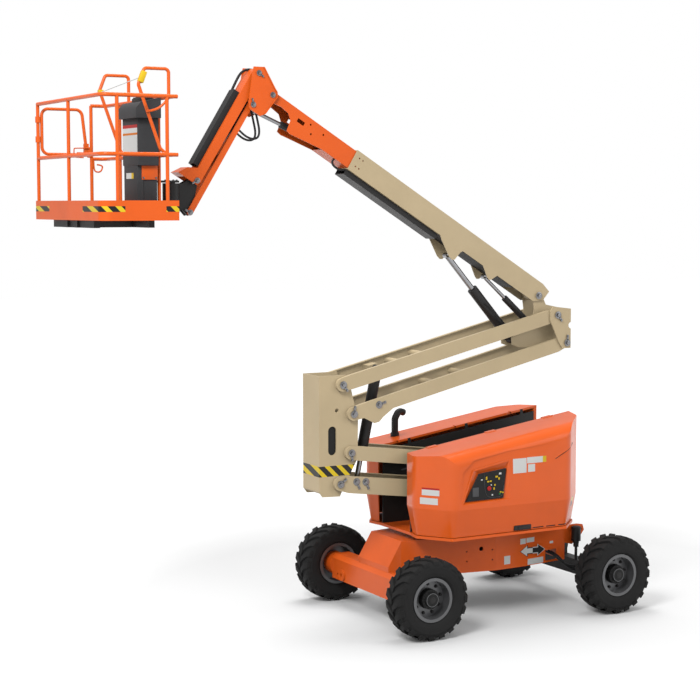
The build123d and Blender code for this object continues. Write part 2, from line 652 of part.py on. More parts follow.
def fly_boom():
    y = BOOM_Y - BOOM_WALL - FLY_GAP
    top = BOOM_TOP - BOOM_WALL - FLY_GAP
    low = BOOM_LOW + BOOM_WALL + FLY_GAP
    flare = HEAD_X + 762
    side = [(FLY_REAR, top), (HEAD_X - 20, top), (HEAD_X - 58, HEAD_Z + 20), (HEAD_X - 48, HEAD_Z - 40)]
    arch = [(30, -12), (71, 25), (151, 40), (251, 30), (311, -20), (326, -130), (378, -138), (431, -128)]
    side += [(HEAD_X + x, z) for x, z in arch] + [(flare, low), (FLY_REAR, low)]
    fly = slab(side, -y, y)
    fly -= block(flare, FLY_REAR + 50, -y + FLY_WALL, y - FLY_WALL, low + FLY_WALL, top - FLY_WALL)
    fly -= block(HEAD_X - 200, flare + 1, -y + FLY_WALL, y - FLY_WALL, -400, top - FLY_WALL)
    fly -= block(HEAD_X + 371, HEAD_X + 461, -400, 400, 12, 52)
    for x, z in ((525, 70), (575, -10), (700, 60)):
        fly -= pin((HEAD_X + x, z), 11, BOOM_Y)
    pad = block(FLY_REAR - 60, FLY_REAR, -70, 70, top - 2, top + FLY_GAP - FIT)
    pad += block(FLY_REAR - 60, FLY_REAR, -70, 70, low - FLY_GAP + FIT, low + 2)
    fly += pad + pin((HEAD_X, HEAD_Z), HEAD_PIN_R, CRANK_OUT + 6)
    fly += pin(SLAVE_AT, CYLINDERS["slave"]["pin_r"], y - 1)
    return placed(fly, BOOM_PIN, -BOOM_ANGLE)


def cylinder_run(spec):
    return (spec["eye"][0] - spec["base"][0], spec["eye"][1] - spec["base"][1])


def along_cylinder(shape, spec):
    run = cylinder_run(spec)
    return placed(shape, spec["base"], degrees(atan2(run[1], run[0])))


def barrel(spec):
    r, half, end = spec["barrel_r"], spec["half"], spec["barrel_l"]
    eye_r = spec["pin_r"] + 16
    neck = min(r, half) - 4
    tube = along_x(eye_r + 10, end, r) + block(0, eye_r + 14, -half, half, -neck * 0.6, neck * 0.6)
    tube += pin((0, 0), eye_r, half)
    tube -= along_x(eye_r + 30, end + 5, spec["rod_r"] + FIT)
    tube -= pin((0, 0), spec["pin_r"] + FIT, half + 50)
    return along_cylinder(tube, spec)


def piston_rod(spec):
    length = hypot(*cylinder_run(spec))
    eye_r = spec["pin_r"] + ROD_EYE
    rod = along_x(length - spec["rod_l"], length - eye_r + 8, spec["rod_r"])
    rod += pin((length, 0), eye_r, spec["half"] - 4)
    rod -= pin((length, 0), spec["pin_r"], spec["half"] + 50)
    return along_cylinder(rod, spec)


# Jib
def bellcrank():
    a, s = CRANK_A, CRANK_S
    b = shifted(CRANK_A, CRANK_AB)
    rear = [(56, -20), (52, 30), (30, 62), (a[0] + 60, a[1] + 62)]
    front = [(a[0] - 52, a[1] + 62), (a[0] - 66, a[1]), (b[0] - 46, b[1] + 20), (b[0] - 40, b[1] - 40)]
    foot = [(s[0] - 20, s[1] - 42), (s[0] + 40, s[1] - 20)]
    crank = twin(rear + front + foot, CRANK_IN, CRANK_OUT) - pin((0, 0), HEAD_PIN_R + FIT, 400)
    edge = [foot[1]] + rear
    strip = edge + [(x - CRANK_RIM, z) for x, z in reversed(edge)]
    crank += twin(strip, CRANK_OUT - 2, CRANK_OUT + CRANK_RIM)
    crank += pin(a, JIB_PIN_R, CRANK_OUT + 6) + pin(b, JIB_PIN_R, CRANK_OUT + 6)
    return placed(crank, HEAD_PIN, 0)


def jib_arm():
    half = JIB_DEPTH / 2
    side = [(0, half), (40, 40), (62, 0), (40, -40), (0, -half), (-JIB_L, -40), (-JIB_L - 40, -20)]
    side += [(-JIB_L - 40, 215), (-JIB_L + 60, 150), (-JIB_L + 110, half)]
    arm = slab(side, -JIB_Y, JIB_Y)
    arm -= block(-JIB_L - 100, 100, -JIB_Y + 10, JIB_Y - 10, -200, half - 8)
    arm -= block(-JIB_L - 100, -JIB_L + 130, -JIB_Y + 10, JIB_Y - 10, half - 10, 140)
    arm -= pin((0, 0), JIB_PIN_R + FIT, 300)
    arm += both_sides(pin((-JIB_L, 0), 30, JIB_Y - 2, start=JIB_Y - LUG_T))
    ear = [(-40, half - 4), (-34, -20), (0, -34), (34, -20), (40, half - 4)]
    ears = twin([(x - JIB_EYE, z) for x, z in ear], JIB_LINK_Y - LUG_T, JIB_LINK_Y)
    arm += ears - pin((-JIB_EYE, 0), JIB_PIN_R, 300)
    arm -= pin((-JIB_L, 0), JIB_PIN_R + FIT, 300)
    return placed(arm, JIB_A, JIB_ANGLE)


def jib_guard():
    half = JIB_DEPTH / 2
    x0, x1 = -JIB_L + 130, -260
    guard = block(x0, x1, -60, 60, half, half + 62) - block(x0 - 10, x1 + 10, -52, 52, half + 8, half + 54)
    return placed(guard, JIB_A, JIB_ANGLE)


def jib_link():
    half = JIB_LINK_DEPTH / 2
    inner = JIB_LINK_Y - LUG_T
    bars = twin([(0, -half), (-JIB_L, -half), (-JIB_L, half), (0, half)], inner, JIB_LINK_Y)
    for x in (0, -JIB_L):
        bars += both_sides(pin((x, 0), half, JIB_LINK_Y, start=inner))
    bars += block(-700, -560, 4 - JIB_LINK_Y, JIB_LINK_Y - 4, -half, -half + 8)
    for x in (0, -JIB_L):
        bars -= pin((x, 0), JIB_PIN_R + FIT, 300)
    return placed(bars, JIB_B, JIB_ANGLE)


def rotator():
    z0, z1 = JIB_C[1] + ROTATOR_LOW, JIB_C[1] + ROTATOR_TOP
    c, d = JIB_C, JIB_D
    flank = ROTATOR_X + ROTATOR_R + 15
    lug_out = JIB_LINK_Y - LUG_T - RUN
    lug_in = lug_out - LUG_T
    plate = [(c[0] + 32, c[1] + 20), (c[0], c[1] + 34), (c[0] - 60, c[1] + 10), (flank, z1), (ROTATOR_X, z1)]
    plate += [(ROTATOR_X, z0), (flank, z0), (d[0] - 20, d[1] - 34), (d[0] + 32, d[1] - 20)]
    plate += [(d[0] + 34, d[1] + 20)]
    body = twin(plate, lug_in, lug_out) + post(ROTATOR_X, 0, ROTATOR_R, z0, z1)
    body += both_sides(pin(c, JIB_PIN_R, JIB_Y + 6, start=lug_in))
    body += both_sides(pin(d, JIB_PIN_R, JIB_LINK_Y + 6, start=lug_in))
    return body - post(ROTATOR_X, 0, SHAFT_R + FIT, z0 - 5, z1 + 5)


# Platform
def platform_support():
    z0, z1 = JIB_C[1] + ROTATOR_LOW, JIB_C[1] + ROTATOR_TOP
    x = ROTATOR_X
    wall = PLATFORM_BACK + RUN
    beam = FLOOR_Z - 70
    fork = post(x, 0, SHAFT_R, z0 - 26, z1 + 26)
    for low in (z0 - 26, z1 + RUN):
        fork += post(x, 0, 80, low, low + 20) + block(wall, x, -80, 80, low, low + 20)
    fork += block(wall, wall + 20, -160, 160, beam, z1 + 26)
    fork += both_sides(block(PLATFORM_FRONT + 40, wall + 20, 110, 160, beam, FLOOR_Z))
    front, back = PLATFORM_FRONT + 60, PLATFORM_BACK - 160
    return fork + [block(at, at + 60, -560, 560, beam, FLOOR_Z) for at in (front, back)]


def platform_floor():
    x0, x1, y, z = PLATFORM_FRONT, PLATFORM_BACK, PLATFORM_Y, FLOOR_Z
    tub = block(x0, x1, -y, y, z, z + TOE_H)
    corner = tub.edges().filter_by(Axis.Z).sort_by_distance((x0, -y, z))[0]
    tub = fillet(corner, RAIL_BEND + RAIL_R + TOE_T)
    inside = block(x0 + TOE_T, x1 - TOE_T, -y + TOE_T, y - TOE_T, z + FLOOR_T, z + TOE_H + 5)
    corner = inside.edges().filter_by(Axis.Z).sort_by_distance((x0, -y, z))[0]
    return tub - fillet(corner, RAIL_BEND + RAIL_R)


def guard_rails():
    x0, x1 = PLATFORM_FRONT + TOE_T + RAIL_R, PLATFORM_BACK - TOE_T - RAIL_R
    y = PLATFORM_Y - TOE_T - RAIL_R
    latch = PLATFORM_FRONT + GATE_L
    frame = None
    for high in (MID_RAIL, TOP_RAIL - RAIL_R):
        z = FLOOR_Z + high
        bar = bent_bar([(x0, y, z), (x0, -y, z), (PLATFORM_BACK, -y, z)], RAIL_R, RAIL_BEND)
        bar += bent_bar([(x1, -y, z), (x1, y, z), (latch, y, z)], BACK_R, RAIL_BEND)
        frame = bar if frame is None else frame + bar
    foot = FLOOR_Z + FLOOR_T
    head = FLOOR_Z + TOP_RAIL - RAIL_R
    wide, tall = GUSSET
    for px, run in ((x0, wide), (latch, -wide)):
        frame += slab([(px, foot), (px + run, foot), (px, foot + tall)], y - 4, y + 4)
    for px, py in ((x0, y), (x0, 0), (x0 + 145, -y), (x1 - 78, -y), (x1, -500), (x1, 500), (latch, y)):
        frame += post(px, py, POST_R, foot, head)
    return frame


def gate():
    y = PLATFORM_Y - TOE_T - RAIL_R
    axis_x = PLATFORM_FRONT + TOE_T + RAIL_R
    x0 = axis_x + POST_R + GATE_R + RUN
    x1 = PLATFORM_FRONT + GATE_L - LATCH_GAP
    z0, z1 = FLOOR_Z + MID_RAIL + GATE_DROP, FLOOR_Z + TOP_RAIL - RAIL_R - GATE_DROP
    middle = (x0 + x1) / 2
    path = [(middle, y, z0), (x0, y, z0), (x0, y, z1), (x1 - 40, y, z1), (x1, y, z0 + 100)]
    leaf = bent_bar(path, GATE_R, RAIL_BEND) + along_x(middle, x1 + 14, GATE_R, z=z0, y=y)
    leaf += block(x1 - 20, x1 + 28, y - GATE_R, y + GATE_R, z0, z0 + 110)
    for z in (z1 - GATE_HINGE_TOP, z0 + GATE_HINGE_LOW):
        leaf += post(axis_x, y, POST_R + 9, z - 30, z + 30)
        leaf += block(axis_x + 4, x0, y - 7, y + 7, z - 24, z + 24)
    return leaf - post(axis_x, y, POST_R + FIT, FLOOR_Z, FLOOR_Z + TOP_RAIL)


def console():
    x1 = PLATFORM_BACK - 60
    z = FLOOR_Z + FLOOR_T
    head = [(-250, 940), (0, 940), (0, 1130), (-205, 1085), (-250, 1030)]
    column = [(-95, 420), (0, 420), (0, 950), (-165, 950)]
    body = slab([(x1 + x, z + h) for x, h in head], -650, -215)
    body += slab([(x1 + x, z + h) for x, h in column], -620, -290)
    body += block(x1 - 130, x1, -600, -420, z, z + 430)
    return body + block(x1 - 80, x1, -440, -180, z + 130, z + 500)


def trip_bars():
    x1 = PLATFORM_BACK - TOE_T - RAIL_R
    mid, top = FLOOR_Z + MID_RAIL, FLOOR_Z + TOP_RAIL
    bars = None
    for y in TRIP_Y:
        path = [(x1 - RAIL_R, y, mid), (x1 - 90, y, mid + 60), (x1 - 300, y, top + 90)]
        path += [(x1 - 240, y, top + TRIP_RISE), (x1, y, top + TRIP_RISE), (x1, y, top - 2)]
        bar = bent_bar(path, TRIP_R, 38)
        bars = bar if bars is None else bars + bar
    return bars - guard_rails()


PARTS = {
    "chassis_frame": chassis_frame(),
    "drive_axle": drive_axle(),
    "steer_axle": steer_axle(),
    "slew_ring": slew_ring(),
    "lockout_cylinders": lockout_cylinders(),
    "knuckle_left": knuckle(),
    "knuckle_right": mirror(knuckle(), about=Plane.XZ),
    "tie_rod": tie_rod(),
    "turntable_frame": turntable_frame(),
    "inner_panels": inner_panels(),
    "counterweight": counterweight(),
    "engine_block": engine_block(),
    "hood_left": hood(),
    "hood_right": mirror(control_hood(), about=Plane.XZ),
    "exhaust": exhaust(),
    "ground_control": mirror(ground_control(), about=Plane.XZ),
    "lower_boom": lower_boom(),
    "lower_link": lower_link(),
    "upright": upright(),
    "mid_boom": mid_boom(),
    "mid_link": mid_link(),
    "riser": riser(),
    "main_boom": main_boom(),
    "boom_tray": boom_tray(),
    "fly_boom": fly_boom(),
    "bellcrank": bellcrank(),
    "jib_arm": jib_arm(),
    "jib_guard": jib_guard(),
    "jib_link": jib_link(),
    "rotator": rotator(),
    "platform_support": platform_support(),
    "platform_floor": platform_floor(),
    "guard_rails": guard_rails(),
    "gate": gate(),
    "console": console(),
    "trip_bars": trip_bars(),
}
lugged, wheel_rim = tyre(), rim()
for label, x in (("drive", DRIVE_X), ("steer", STEER_X)):
    for hand, side in (("left", 1), ("right", -1)):
        PARTS[f"tyre_{label}_{hand}"] = at_wheel(lugged, x, side)
        PARTS[f"rim_{label}_{hand}"] = at_wheel(wheel_rim, x, side)
for label, spec in CYLINDERS.items():
    PARTS[f"{label}_barrel"] = barrel(spec)
    PARTS[f"{label}_rod"] = piston_rod(spec)

os.makedirs("parts", exist_ok=True)
for label, shape in PARTS.items():
    export_step(Pos(-ORIGIN_X, 0, 0) * shape, f"parts/{label}.step")
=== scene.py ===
import json
import math

import bmesh
import bpy
from mathutils import Matrix, Vector


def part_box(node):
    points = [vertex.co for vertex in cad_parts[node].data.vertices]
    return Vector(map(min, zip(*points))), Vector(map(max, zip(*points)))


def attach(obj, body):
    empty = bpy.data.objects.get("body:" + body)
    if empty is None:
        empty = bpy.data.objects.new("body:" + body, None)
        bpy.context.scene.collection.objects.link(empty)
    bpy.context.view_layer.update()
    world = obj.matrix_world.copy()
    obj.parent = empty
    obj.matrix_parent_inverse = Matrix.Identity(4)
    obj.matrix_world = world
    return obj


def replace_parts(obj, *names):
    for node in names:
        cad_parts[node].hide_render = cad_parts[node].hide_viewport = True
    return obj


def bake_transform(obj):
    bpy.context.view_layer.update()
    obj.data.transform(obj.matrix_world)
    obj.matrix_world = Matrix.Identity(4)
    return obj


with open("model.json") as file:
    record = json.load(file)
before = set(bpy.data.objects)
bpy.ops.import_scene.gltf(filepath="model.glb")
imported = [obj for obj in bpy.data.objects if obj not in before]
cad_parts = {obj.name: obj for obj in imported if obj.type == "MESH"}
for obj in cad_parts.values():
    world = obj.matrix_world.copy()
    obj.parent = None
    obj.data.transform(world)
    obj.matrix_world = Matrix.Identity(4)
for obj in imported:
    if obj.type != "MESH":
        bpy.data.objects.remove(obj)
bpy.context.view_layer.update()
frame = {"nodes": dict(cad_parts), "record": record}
print("stage: frame loaded")

# Machine frame: metres, zero under the slew axis, moved here to the row's own origin
ringLow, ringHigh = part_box("slew_ring")
slewX = (ringLow[0] + ringHigh[0]) / 2
joints = {joint["name"]: joint for joint in frame["record"]["behaviour"]["joints"]}
sides = (-1, 1)  # near, far


def at(x, y, z):
    return Vector((x + slewX, y, z))


# Camera at the photograph's viewing angle
view = {"place": (-9.908, -15.112, 4.40), "yaw": -29.04, "tilt": 5.01, "lens": 85.4, "sensor": 36.0,
        "reach": 200}
cameraData = bpy.data.cameras.new("photoCamera")
cameraData.lens = view["lens"]
cameraData.sensor_width = view["sensor"]
cameraData.clip_end = view["reach"]
camera = bpy.data.objects.new("photoCamera", cameraData)
camera.location = at(*view["place"])
camera.rotation_euler = (math.radians(90 - view["tilt"]), 0, math.radians(view["yaw"]))
bpy.context.collection.objects.link(camera)
bpy.context.scene.camera = camera

# Settings shared by all paints, and the slanted warning stripes
paintForm = {"patches": 2.3, "stops": (0.3, 0.5, 0.72), "bounce": 0.25, "smears": (9.0, 5.0),
             "roughSpan": (-0.06, 0.08), "grainDetail": 2.0, "grainDepth": 0.0006, "specular": 0.3,
             "coatRough": 0.12}
hazardForm = {"pitch": 0.135, "across": 0.36, "light": 0.44, "yellow": (0.92, 0.66, 0.02),
              "black": (0.012, 0.012, 0.012)}


# Materials: every one has its own nodes, read in object coordinates
class Nodes:
    def __init__(self, name):
        self.material = bpy.data.materials.new(name)
        self.material.use_nodes = True
        self.tree = self.material.node_tree
        self.shader = self.tree.nodes["Principled BSDF"]
        self.coords = self.tree.nodes.new("ShaderNodeTexCoord").outputs["Object"]

    def add(self, kind, **settings):
        node = self.tree.nodes.new("ShaderNode" + kind)
        for key, value in settings.items():
            setattr(node, key, value)
        return node

    def link(self, source, target):
        self.tree.links.new(source, target)

    def noise(self, scale, detail=3.0, roughness=0.55):
        node = self.add("TexNoise")
        node.inputs["Scale"].default_value = scale
        node.inputs["Detail"].default_value = detail
        node.inputs["Roughness"].default_value = roughness
        self.link(self.coords, node.inputs["Vector"])
        return node.outputs["Fac"]

    def ramp(self, source, stops):
        node = self.add("ValToRGB")
        elements = node.color_ramp.elements
        while len(elements) < len(stops):
            elements.new(0.5)
        for element, (place, colour) in zip(elements, stops):
            element.position = place
            element.color = (*colour, 1.0)
        self.link(source, node.inputs["Fac"])
        return node.outputs["Color"]

    def spread(self, source, low, high):
        node = self.add("MapRange")
        node.inputs["To Min"].default_value = low
        node.inputs["To Max"].default_value = high
        self.link(source, node.inputs["Value"])
        return node.outputs["Result"]

    def math(self, operation, *values):
        node = self.add("Math", operation=operation)
        for socket, value in zip(node.inputs, values):
            if isinstance(value, (int, float)):
                socket.default_value = value
            else:
                self.link(value, socket)
        return node.outputs[0]

    def mix(self, factor, first, second):
        node = self.add("Mix", data_type="RGBA")
        for index, value in ((0, factor), (6, first), (7, second)):  # the colour mix's own sockets
            if isinstance(value, tuple):
                node.inputs[index].default_value = (*value, 1.0)
            else:
                self.link(value, node.inputs[index])
        return node.outputs[2]

    def hazard(self, colour, bands):
        split = self.add("SeparateXYZ")
        self.link(self.coords, split.inputs[0])
        x, y, z = split.outputs
        slant = self.math("ADD", self.math("MULTIPLY_ADD", y, -hazardForm["across"], x), z)
        phase = self.math("FRACT", self.math("DIVIDE", slant, hazardForm["pitch"]))
        dark = self.math("GREATER_THAN", phase, hazardForm["light"])
        stripes = self.mix(dark, hazardForm["yellow"], hazardForm["black"])
        inside = None
        for low, high in bands:
            spans = [self.math("COMPARE", axis, (a + b) / 2, abs(b - a) / 2)
                     for axis, a, b in zip((x, y, z), at(*low), at(*high))]
            band = self.math("MULTIPLY", self.math("MULTIPLY", spans[0], spans[1]), spans[2])
            inside = band if inside is None else self.math("MAXIMUM", inside, band)
        return self.mix(inside, colour, stripes)

    def bump(self, source, strength, distance):
        node = self.add("Bump")
        node.inputs["Strength"].default_value = strength
        node.inputs["Distance"].default_value = distance
        self.link(source, node.inputs["Height"])
        self.link(node.outputs["Normal"], self.shader.inputs["Normal"])


def shade(colour, factor):
    return tuple(min(1.0, channel * factor) for channel in colour)


def paint(name, colour, rough, metal=0.0, coat=0.0, grain=420.0, vary=0.07, bump=0.06, bands=()):
    nodes = Nodes(name)
    tones = (shade(colour, 1 - vary), colour, shade(colour, 1 + vary))
    tint = nodes.ramp(nodes.noise(paintForm["patches"]), list(zip(paintForm["stops"], tones)))
    if bands:
        tint = nodes.hazard(tint, bands)
    bounced = nodes.add("LightPath").outputs["Is Diffuse Ray"]
    neutral = (sum(colour) * paintForm["bounce"],) * 3  # keeps the floor's shadow grey
    nodes.link(nodes.mix(bounced, tint, neutral), nodes.shader.inputs["Base Color"])
    low, high = paintForm["roughSpan"]
    smears = nodes.spread(nodes.noise(*paintForm["smears"]), rough + low, rough + high)
    nodes.link(smears, nodes.shader.inputs["Roughness"])
    nodes.bump(nodes.noise(grain, paintForm["grainDetail"]), bump, paintForm["grainDepth"])
    nodes.shader.inputs["Metallic"].default_value = metal
    nodes.shader.inputs["Specular IOR Level"].default_value = paintForm["specular"]
    nodes.shader.inputs["Coat Weight"].default_value = coat
    nodes.shader.inputs["Coat Roughness"].default_value = paintForm["coatRough"]
    return nodes.material


toeBands = [  # low corner, high corner
    ((-4.589, 0.51, 4.332), (-4.583, 0.918, 4.384)),  # outer end
    ((-4.589, -0.82, 4.332), (-4.583, -0.43, 4.384)),
    ((-4.59, -0.92, 4.332), (-4.491, -0.82, 4.384)),  # near corner
    ((-4.491, -0.918, 4.332), (-4.354, -0.912, 4.384)),  # near side
    ((-3.953, -0.918, 4.332), (-3.824, -0.912, 4.384)),
]
mastBands = [((-1.985, -0.183, 1.60), (-1.50, 0.183, 1.71))]
hoodBands = [((0.79, -0.79, 1.145), (0.862, -0.69, 1.248)), ((0.79, 0.69, 1.145), (0.862, 0.79, 1.248))]
orangeTone = (0.97, 0.142, 0.014)
beigeTone = (0.66, 0.52, 0.315)
materials = {
    "orange": paint("orangePaint", orangeTone, 0.36, coat=0.12),
    "toeOrange": paint("toeBoardPaint", orangeTone, 0.36, coat=0.12, bands=toeBands),
    "hoodOrange": paint("hoodPaint", orangeTone, 0.30, coat=0.2, vary=0.04, bands=hoodBands),
    "beige": paint("beigePaint", beigeTone, 0.42, coat=0.1, vary=0.05),
    "mastBeige": paint("mastPaint", beigeTone, 0.42, coat=0.1, vary=0.05, bands=mastBands),
    "black": paint("blackPaint", (0.022, 0.021, 0.021), 0.45),
    "rubber": paint("tyreRubber", (0.016, 0.0157, 0.0157), 0.78, grain=160.0, vary=0.2, bump=0.25),
    "rim": paint("rimPaint", (0.15, 0.151, 0.156), 0.33, metal=0.6),
    "chrome": paint("rodChrome", (0.27, 0.27, 0.28), 0.2, metal=1.0, vary=0.02, bump=0.01),
    "zinc": paint("boltZinc", (0.23, 0.23, 0.238), 0.34, metal=1.0, vary=0.1),
    "plastic": paint("consolePlastic", (0.05, 0.051, 0.054), 0.55, grain=240.0, bump=0.2),
    "iron": paint("castIron", (0.05, 0.05, 0.052), 0.6, metal=0.4, grain=120.0, bump=0.3),
    "hose": paint("hoseRubber", (0.018, 0.018, 0.019), 0.5, grain=300.0),
    "label": paint("blankLabel", (0.82, 0.82, 0.80), 0.5, vary=0.02),
    "yellow": paint("yellowPaint", (0.85, 0.56, 0.02), 0.4),
    "red": paint("redPlastic", (0.55, 0.012, 0.01), 0.3),
    "green": paint("greenPlastic", (0.02, 0.25, 0.05), 0.3),
    # painted shade where it fills slots, holes, the boom's underside and the hood crease; own dark colour on
    # the panel face, hub drums and arrow
    "dark": paint("innerDark", (0.012, 0.012, 0.012), 0.6),
    "grey": paint("greyPanel", (0.09, 0.092, 0.096), 0.5),
    "hazardOrange": paint("labelOrange", (0.80, 0.22, 0.02), 0.5, vary=0.02),
}
slotLooks = {"orange_paint": "orange", "orange_cover": "orange", "beige_paint": "beige",
             "black_paint": "black", "chrome": "chrome", "engine_iron": "iron", "cast_iron": "orange",
             "grey_plastic": "plastic", "tyre_rubber": "rubber", "rim_steel": "rim"}
nodeLooks = {"platform_floor": "toeOrange", "upright": "mastBeige", "hood_left": "hoodOrange",
             "hood_right": "hoodOrange"}
for sub in frame["record"]["subparts"]:
    node = frame["nodes"][sub["node"]]
    node.data.materials.clear()
    node.data.materials.append(materials[nodeLooks.get(sub["node"], slotLooks[sub["material_slot"]])])
print("stage: materials set")


# Mesh helpers: shapes go into one bmesh, which becomes one piece riding on one body
boltForm = {"washer": 1.45, "thick": 0.003, "washerSides": 20, "headSides": 6, "edge": 0.12}
pathForm = {"roundness": 4, "order": 3, "steps": 8}
drapeForm = {"from": -3.0, "lift": 0.001, "steps": 6}
labelThick = 0.002


def piece(name, mesh, look, body, smooth=40):
    bmesh.ops.recalc_face_normals(mesh, faces=mesh.faces)
    data = bpy.data.meshes.new(name)
    mesh.to_mesh(data)
    mesh.free()
    data.materials.append(materials[look])
    data.polygons.foreach_set("use_smooth", [True] * len(data.polygons))
    data.set_sharp_from_angle(angle=math.radians(smooth))
    made = bpy.data.objects.new(name, data)
    bpy.context.collection.objects.link(made)
    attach(made, body)
    return made


def edgesOf(verts):
    return list(dict.fromkeys(edge for vert in verts for edge in vert.link_edges))


def soften(mesh, edges, width):
    return bmesh.ops.bevel(mesh, geom=edges, offset=width, offset_type="OFFSET", segments=2, profile=0.5,
                           affect="EDGES", material=-1)["verts"]


def block(mesh, low, high, soft=0.0, place=None):
    low, high = Vector(low), Vector(high)
    put = Matrix.Translation((low + high) / 2) @ Matrix.Diagonal((*(high - low), 1.0))
    made = bmesh.ops.create_cube(mesh, size=1.0, matrix=put)["verts"]
    if soft:
        made = soften(mesh, edgesOf(made), soft) + [vert for vert in made if vert.is_valid]
    if place:
        bmesh.ops.transform(mesh, matrix=place, verts=list(dict.fromkeys(made)))


def blockPair(mesh, low, high):
    for side in sides:
        block(mesh, at(low[0], side * low[1], low[2]), at(high[0], side * high[1], high[2]))


def disc(mesh, centre, axis, radius, length, corners, tip=None, soft=0.0):
    turn = Vector((0, 0, 1)).rotation_difference(Vector(axis)).to_matrix().to_4x4()
    put = Matrix.Translation(Vector(centre)) @ turn
    top = radius if tip is None else tip
    made = bmesh.ops.create_cone(mesh, cap_ends=True, segments=corners, radius1=radius, radius2=top,
                                 depth=length, matrix=put)["verts"]
    if soft:
        caps = [edge for edge in edgesOf(made) if max(len(face.verts) for face in edge.link_faces) > 4]
        soften(mesh, caps, soft)


def bolt(mesh, centre, axis, radius, height):
    axis, centre, thick = Vector(axis).normalized(), Vector(centre), boltForm["thick"]
    disc(mesh, centre + axis * thick / 2, axis, radius * boltForm["washer"], thick, boltForm["washerSides"])
    disc(mesh, centre + axis * (thick + height / 2), axis, radius, height, boltForm["headSides"],
         soft=radius * boltForm["edge"])


def path(name, points, radius, look):
    curve = bpy.data.curves.new(name, "CURVE")
    curve.dimensions = "3D"
    curve.bevel_depth = radius
    curve.bevel_resolution = pathForm["roundness"]
    curve.use_fill_caps = True
    spline = curve.splines.new("NURBS")
    spline.points.add(len(points) - 1)
    for point, place in zip(spline.points, points):
        point.co = (*place, 1.0)
    spline.order_u = pathForm["order"]
    spline.use_endpoint_u = True
    spline.resolution_u = pathForm["steps"]
    curve.materials.append(materials[look])
    made = bpy.data.objects.new(name, curve)
    bpy.context.collection.objects.link(made)
    return made


def tube(name, points, radius, look, body):
    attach(path(name, points, radius, look), body)


def hose(name, points, radius):
    line = path(name + "Line", points, radius, "hose")
    bpy.context.view_layer.update()
    made = bpy.data.objects.new(name, bpy.data.meshes.new_from_object(line))
    bpy.data.objects.remove(line)
    bpy.context.collection.objects.link(made)
    made.data.polygons.foreach_set("use_smooth", [True] * len(made.data.polygons))
    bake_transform(made)


def patch(mesh, corners, out, thick):
    face = mesh.faces.new([mesh.verts.new(Vector(corner)) for corner in corners])
    grown = bmesh.ops.extrude_face_region(mesh, geom=[face])["geom"]
    raised = [part for part in grown if isinstance(part, bmesh.types.BMVert)]
    bmesh.ops.translate(mesh, vec=Vector(out).normalized() * thick, verts=raised)


def spun(mesh, outline, steps, closed=False):
    verts = [mesh.verts.new((0, y, radius)) for y, radius in outline]
    follow = verts[1:] + verts[:1] if closed else verts[1:]
    edges = [mesh.edges.new(pair) for pair in zip(verts, follow)]
    bmesh.ops.spin(mesh, geom=verts + edges, cent=(0, 0, 0), axis=(0, 1, 0), angle=math.tau, steps=steps,
                   use_merge=True)
    bmesh.ops.remove_doubles(mesh, verts=mesh.verts, dist=0.00001)  # closes a hub's pole


def nearFace(node, x, z):
    struck, place, _, _ = frame["nodes"][node].ray_cast(at(x, drapeForm["from"], z), (0, 1, 0))
    assert struck, (node, x, z)
    return place


def drape(mesh, node, x0, x1, z0, z1):
    steps = drapeForm["steps"]
    lift = Vector((0, -drapeForm["lift"], 0))
    heights = [z0 + (z1 - z0) * k / steps for k in range(steps + 1)]
    grid = []
    for i in range(steps + 1):
        x = x0 + (x1 - x0) * i / steps
        grid.append([mesh.verts.new(nearFace(node, x, z) + lift) for z in heights])
    for first, second in zip(grid, grid[1:]):
        for k in range(steps):
            mesh.faces.new((first[k], first[k + 1], second[k + 1], second[k]))


print("stage: helpers ready")

# Floor, world and lamps; near and far are the floor's distance from its centre and its brightness there
floor = {"half": 60.0, "colour": (0.33, 0.33, 0.33, 1.0), "rough": 0.9, "centre": (0.3, 0, 0),
         "near": (4.0, 0.95), "far": (11.0, 1.85)}
floorMesh = bmesh.new()
bmesh.ops.create_grid(floorMesh, x_segments=2, y_segments=2, size=floor["half"])
floorData = bpy.data.meshes.new("studioFloor")
floorMesh.to_mesh(floorData)
floorMesh.free()
floorLook = Nodes("floorWhite")
floorLook.shader.inputs["Base Color"].default_value = floor["colour"]
floorLook.shader.inputs["Roughness"].default_value = floor["rough"]
floorPath = floorLook.add("LightPath").outputs
floorSeen = floorLook.math("MAXIMUM", floorPath["Is Camera Ray"], floorPath["Is Glossy Ray"])
floorReach = floorLook.add("VectorMath", operation="DISTANCE")
floorReach.inputs[1].default_value = at(*floor["centre"])
floorLook.link(floorLook.coords, floorReach.inputs[0])
floorTone = floorLook.add("MapRange")
for socket, value in zip(("From Min", "To Min", "From Max", "To Max"), floor["near"] + floor["far"]):
    floorTone.inputs[socket].default_value = value
floorLook.link(floorReach.outputs["Value"], floorTone.inputs["Value"])
floorPale = floorLook.add("BsdfDiffuse")
floorLook.link(floorTone.outputs["Result"], floorPale.inputs["Color"])
floorMix = floorLook.add("MixShader")
floorLook.link(floorSeen, floorMix.inputs[0])
floorLook.link(floorLook.shader.outputs[0], floorMix.inputs[1])
floorLook.link(floorPale.outputs[0], floorMix.inputs[2])
floorLook.link(floorMix.outputs[0], floorLook.tree.nodes["Material Output"].inputs["Surface"])
floorData.materials.append(floorLook.material)
floorObject = bpy.data.objects.new("studioFloor", floorData)
bpy.context.collection.objects.link(floorObject)

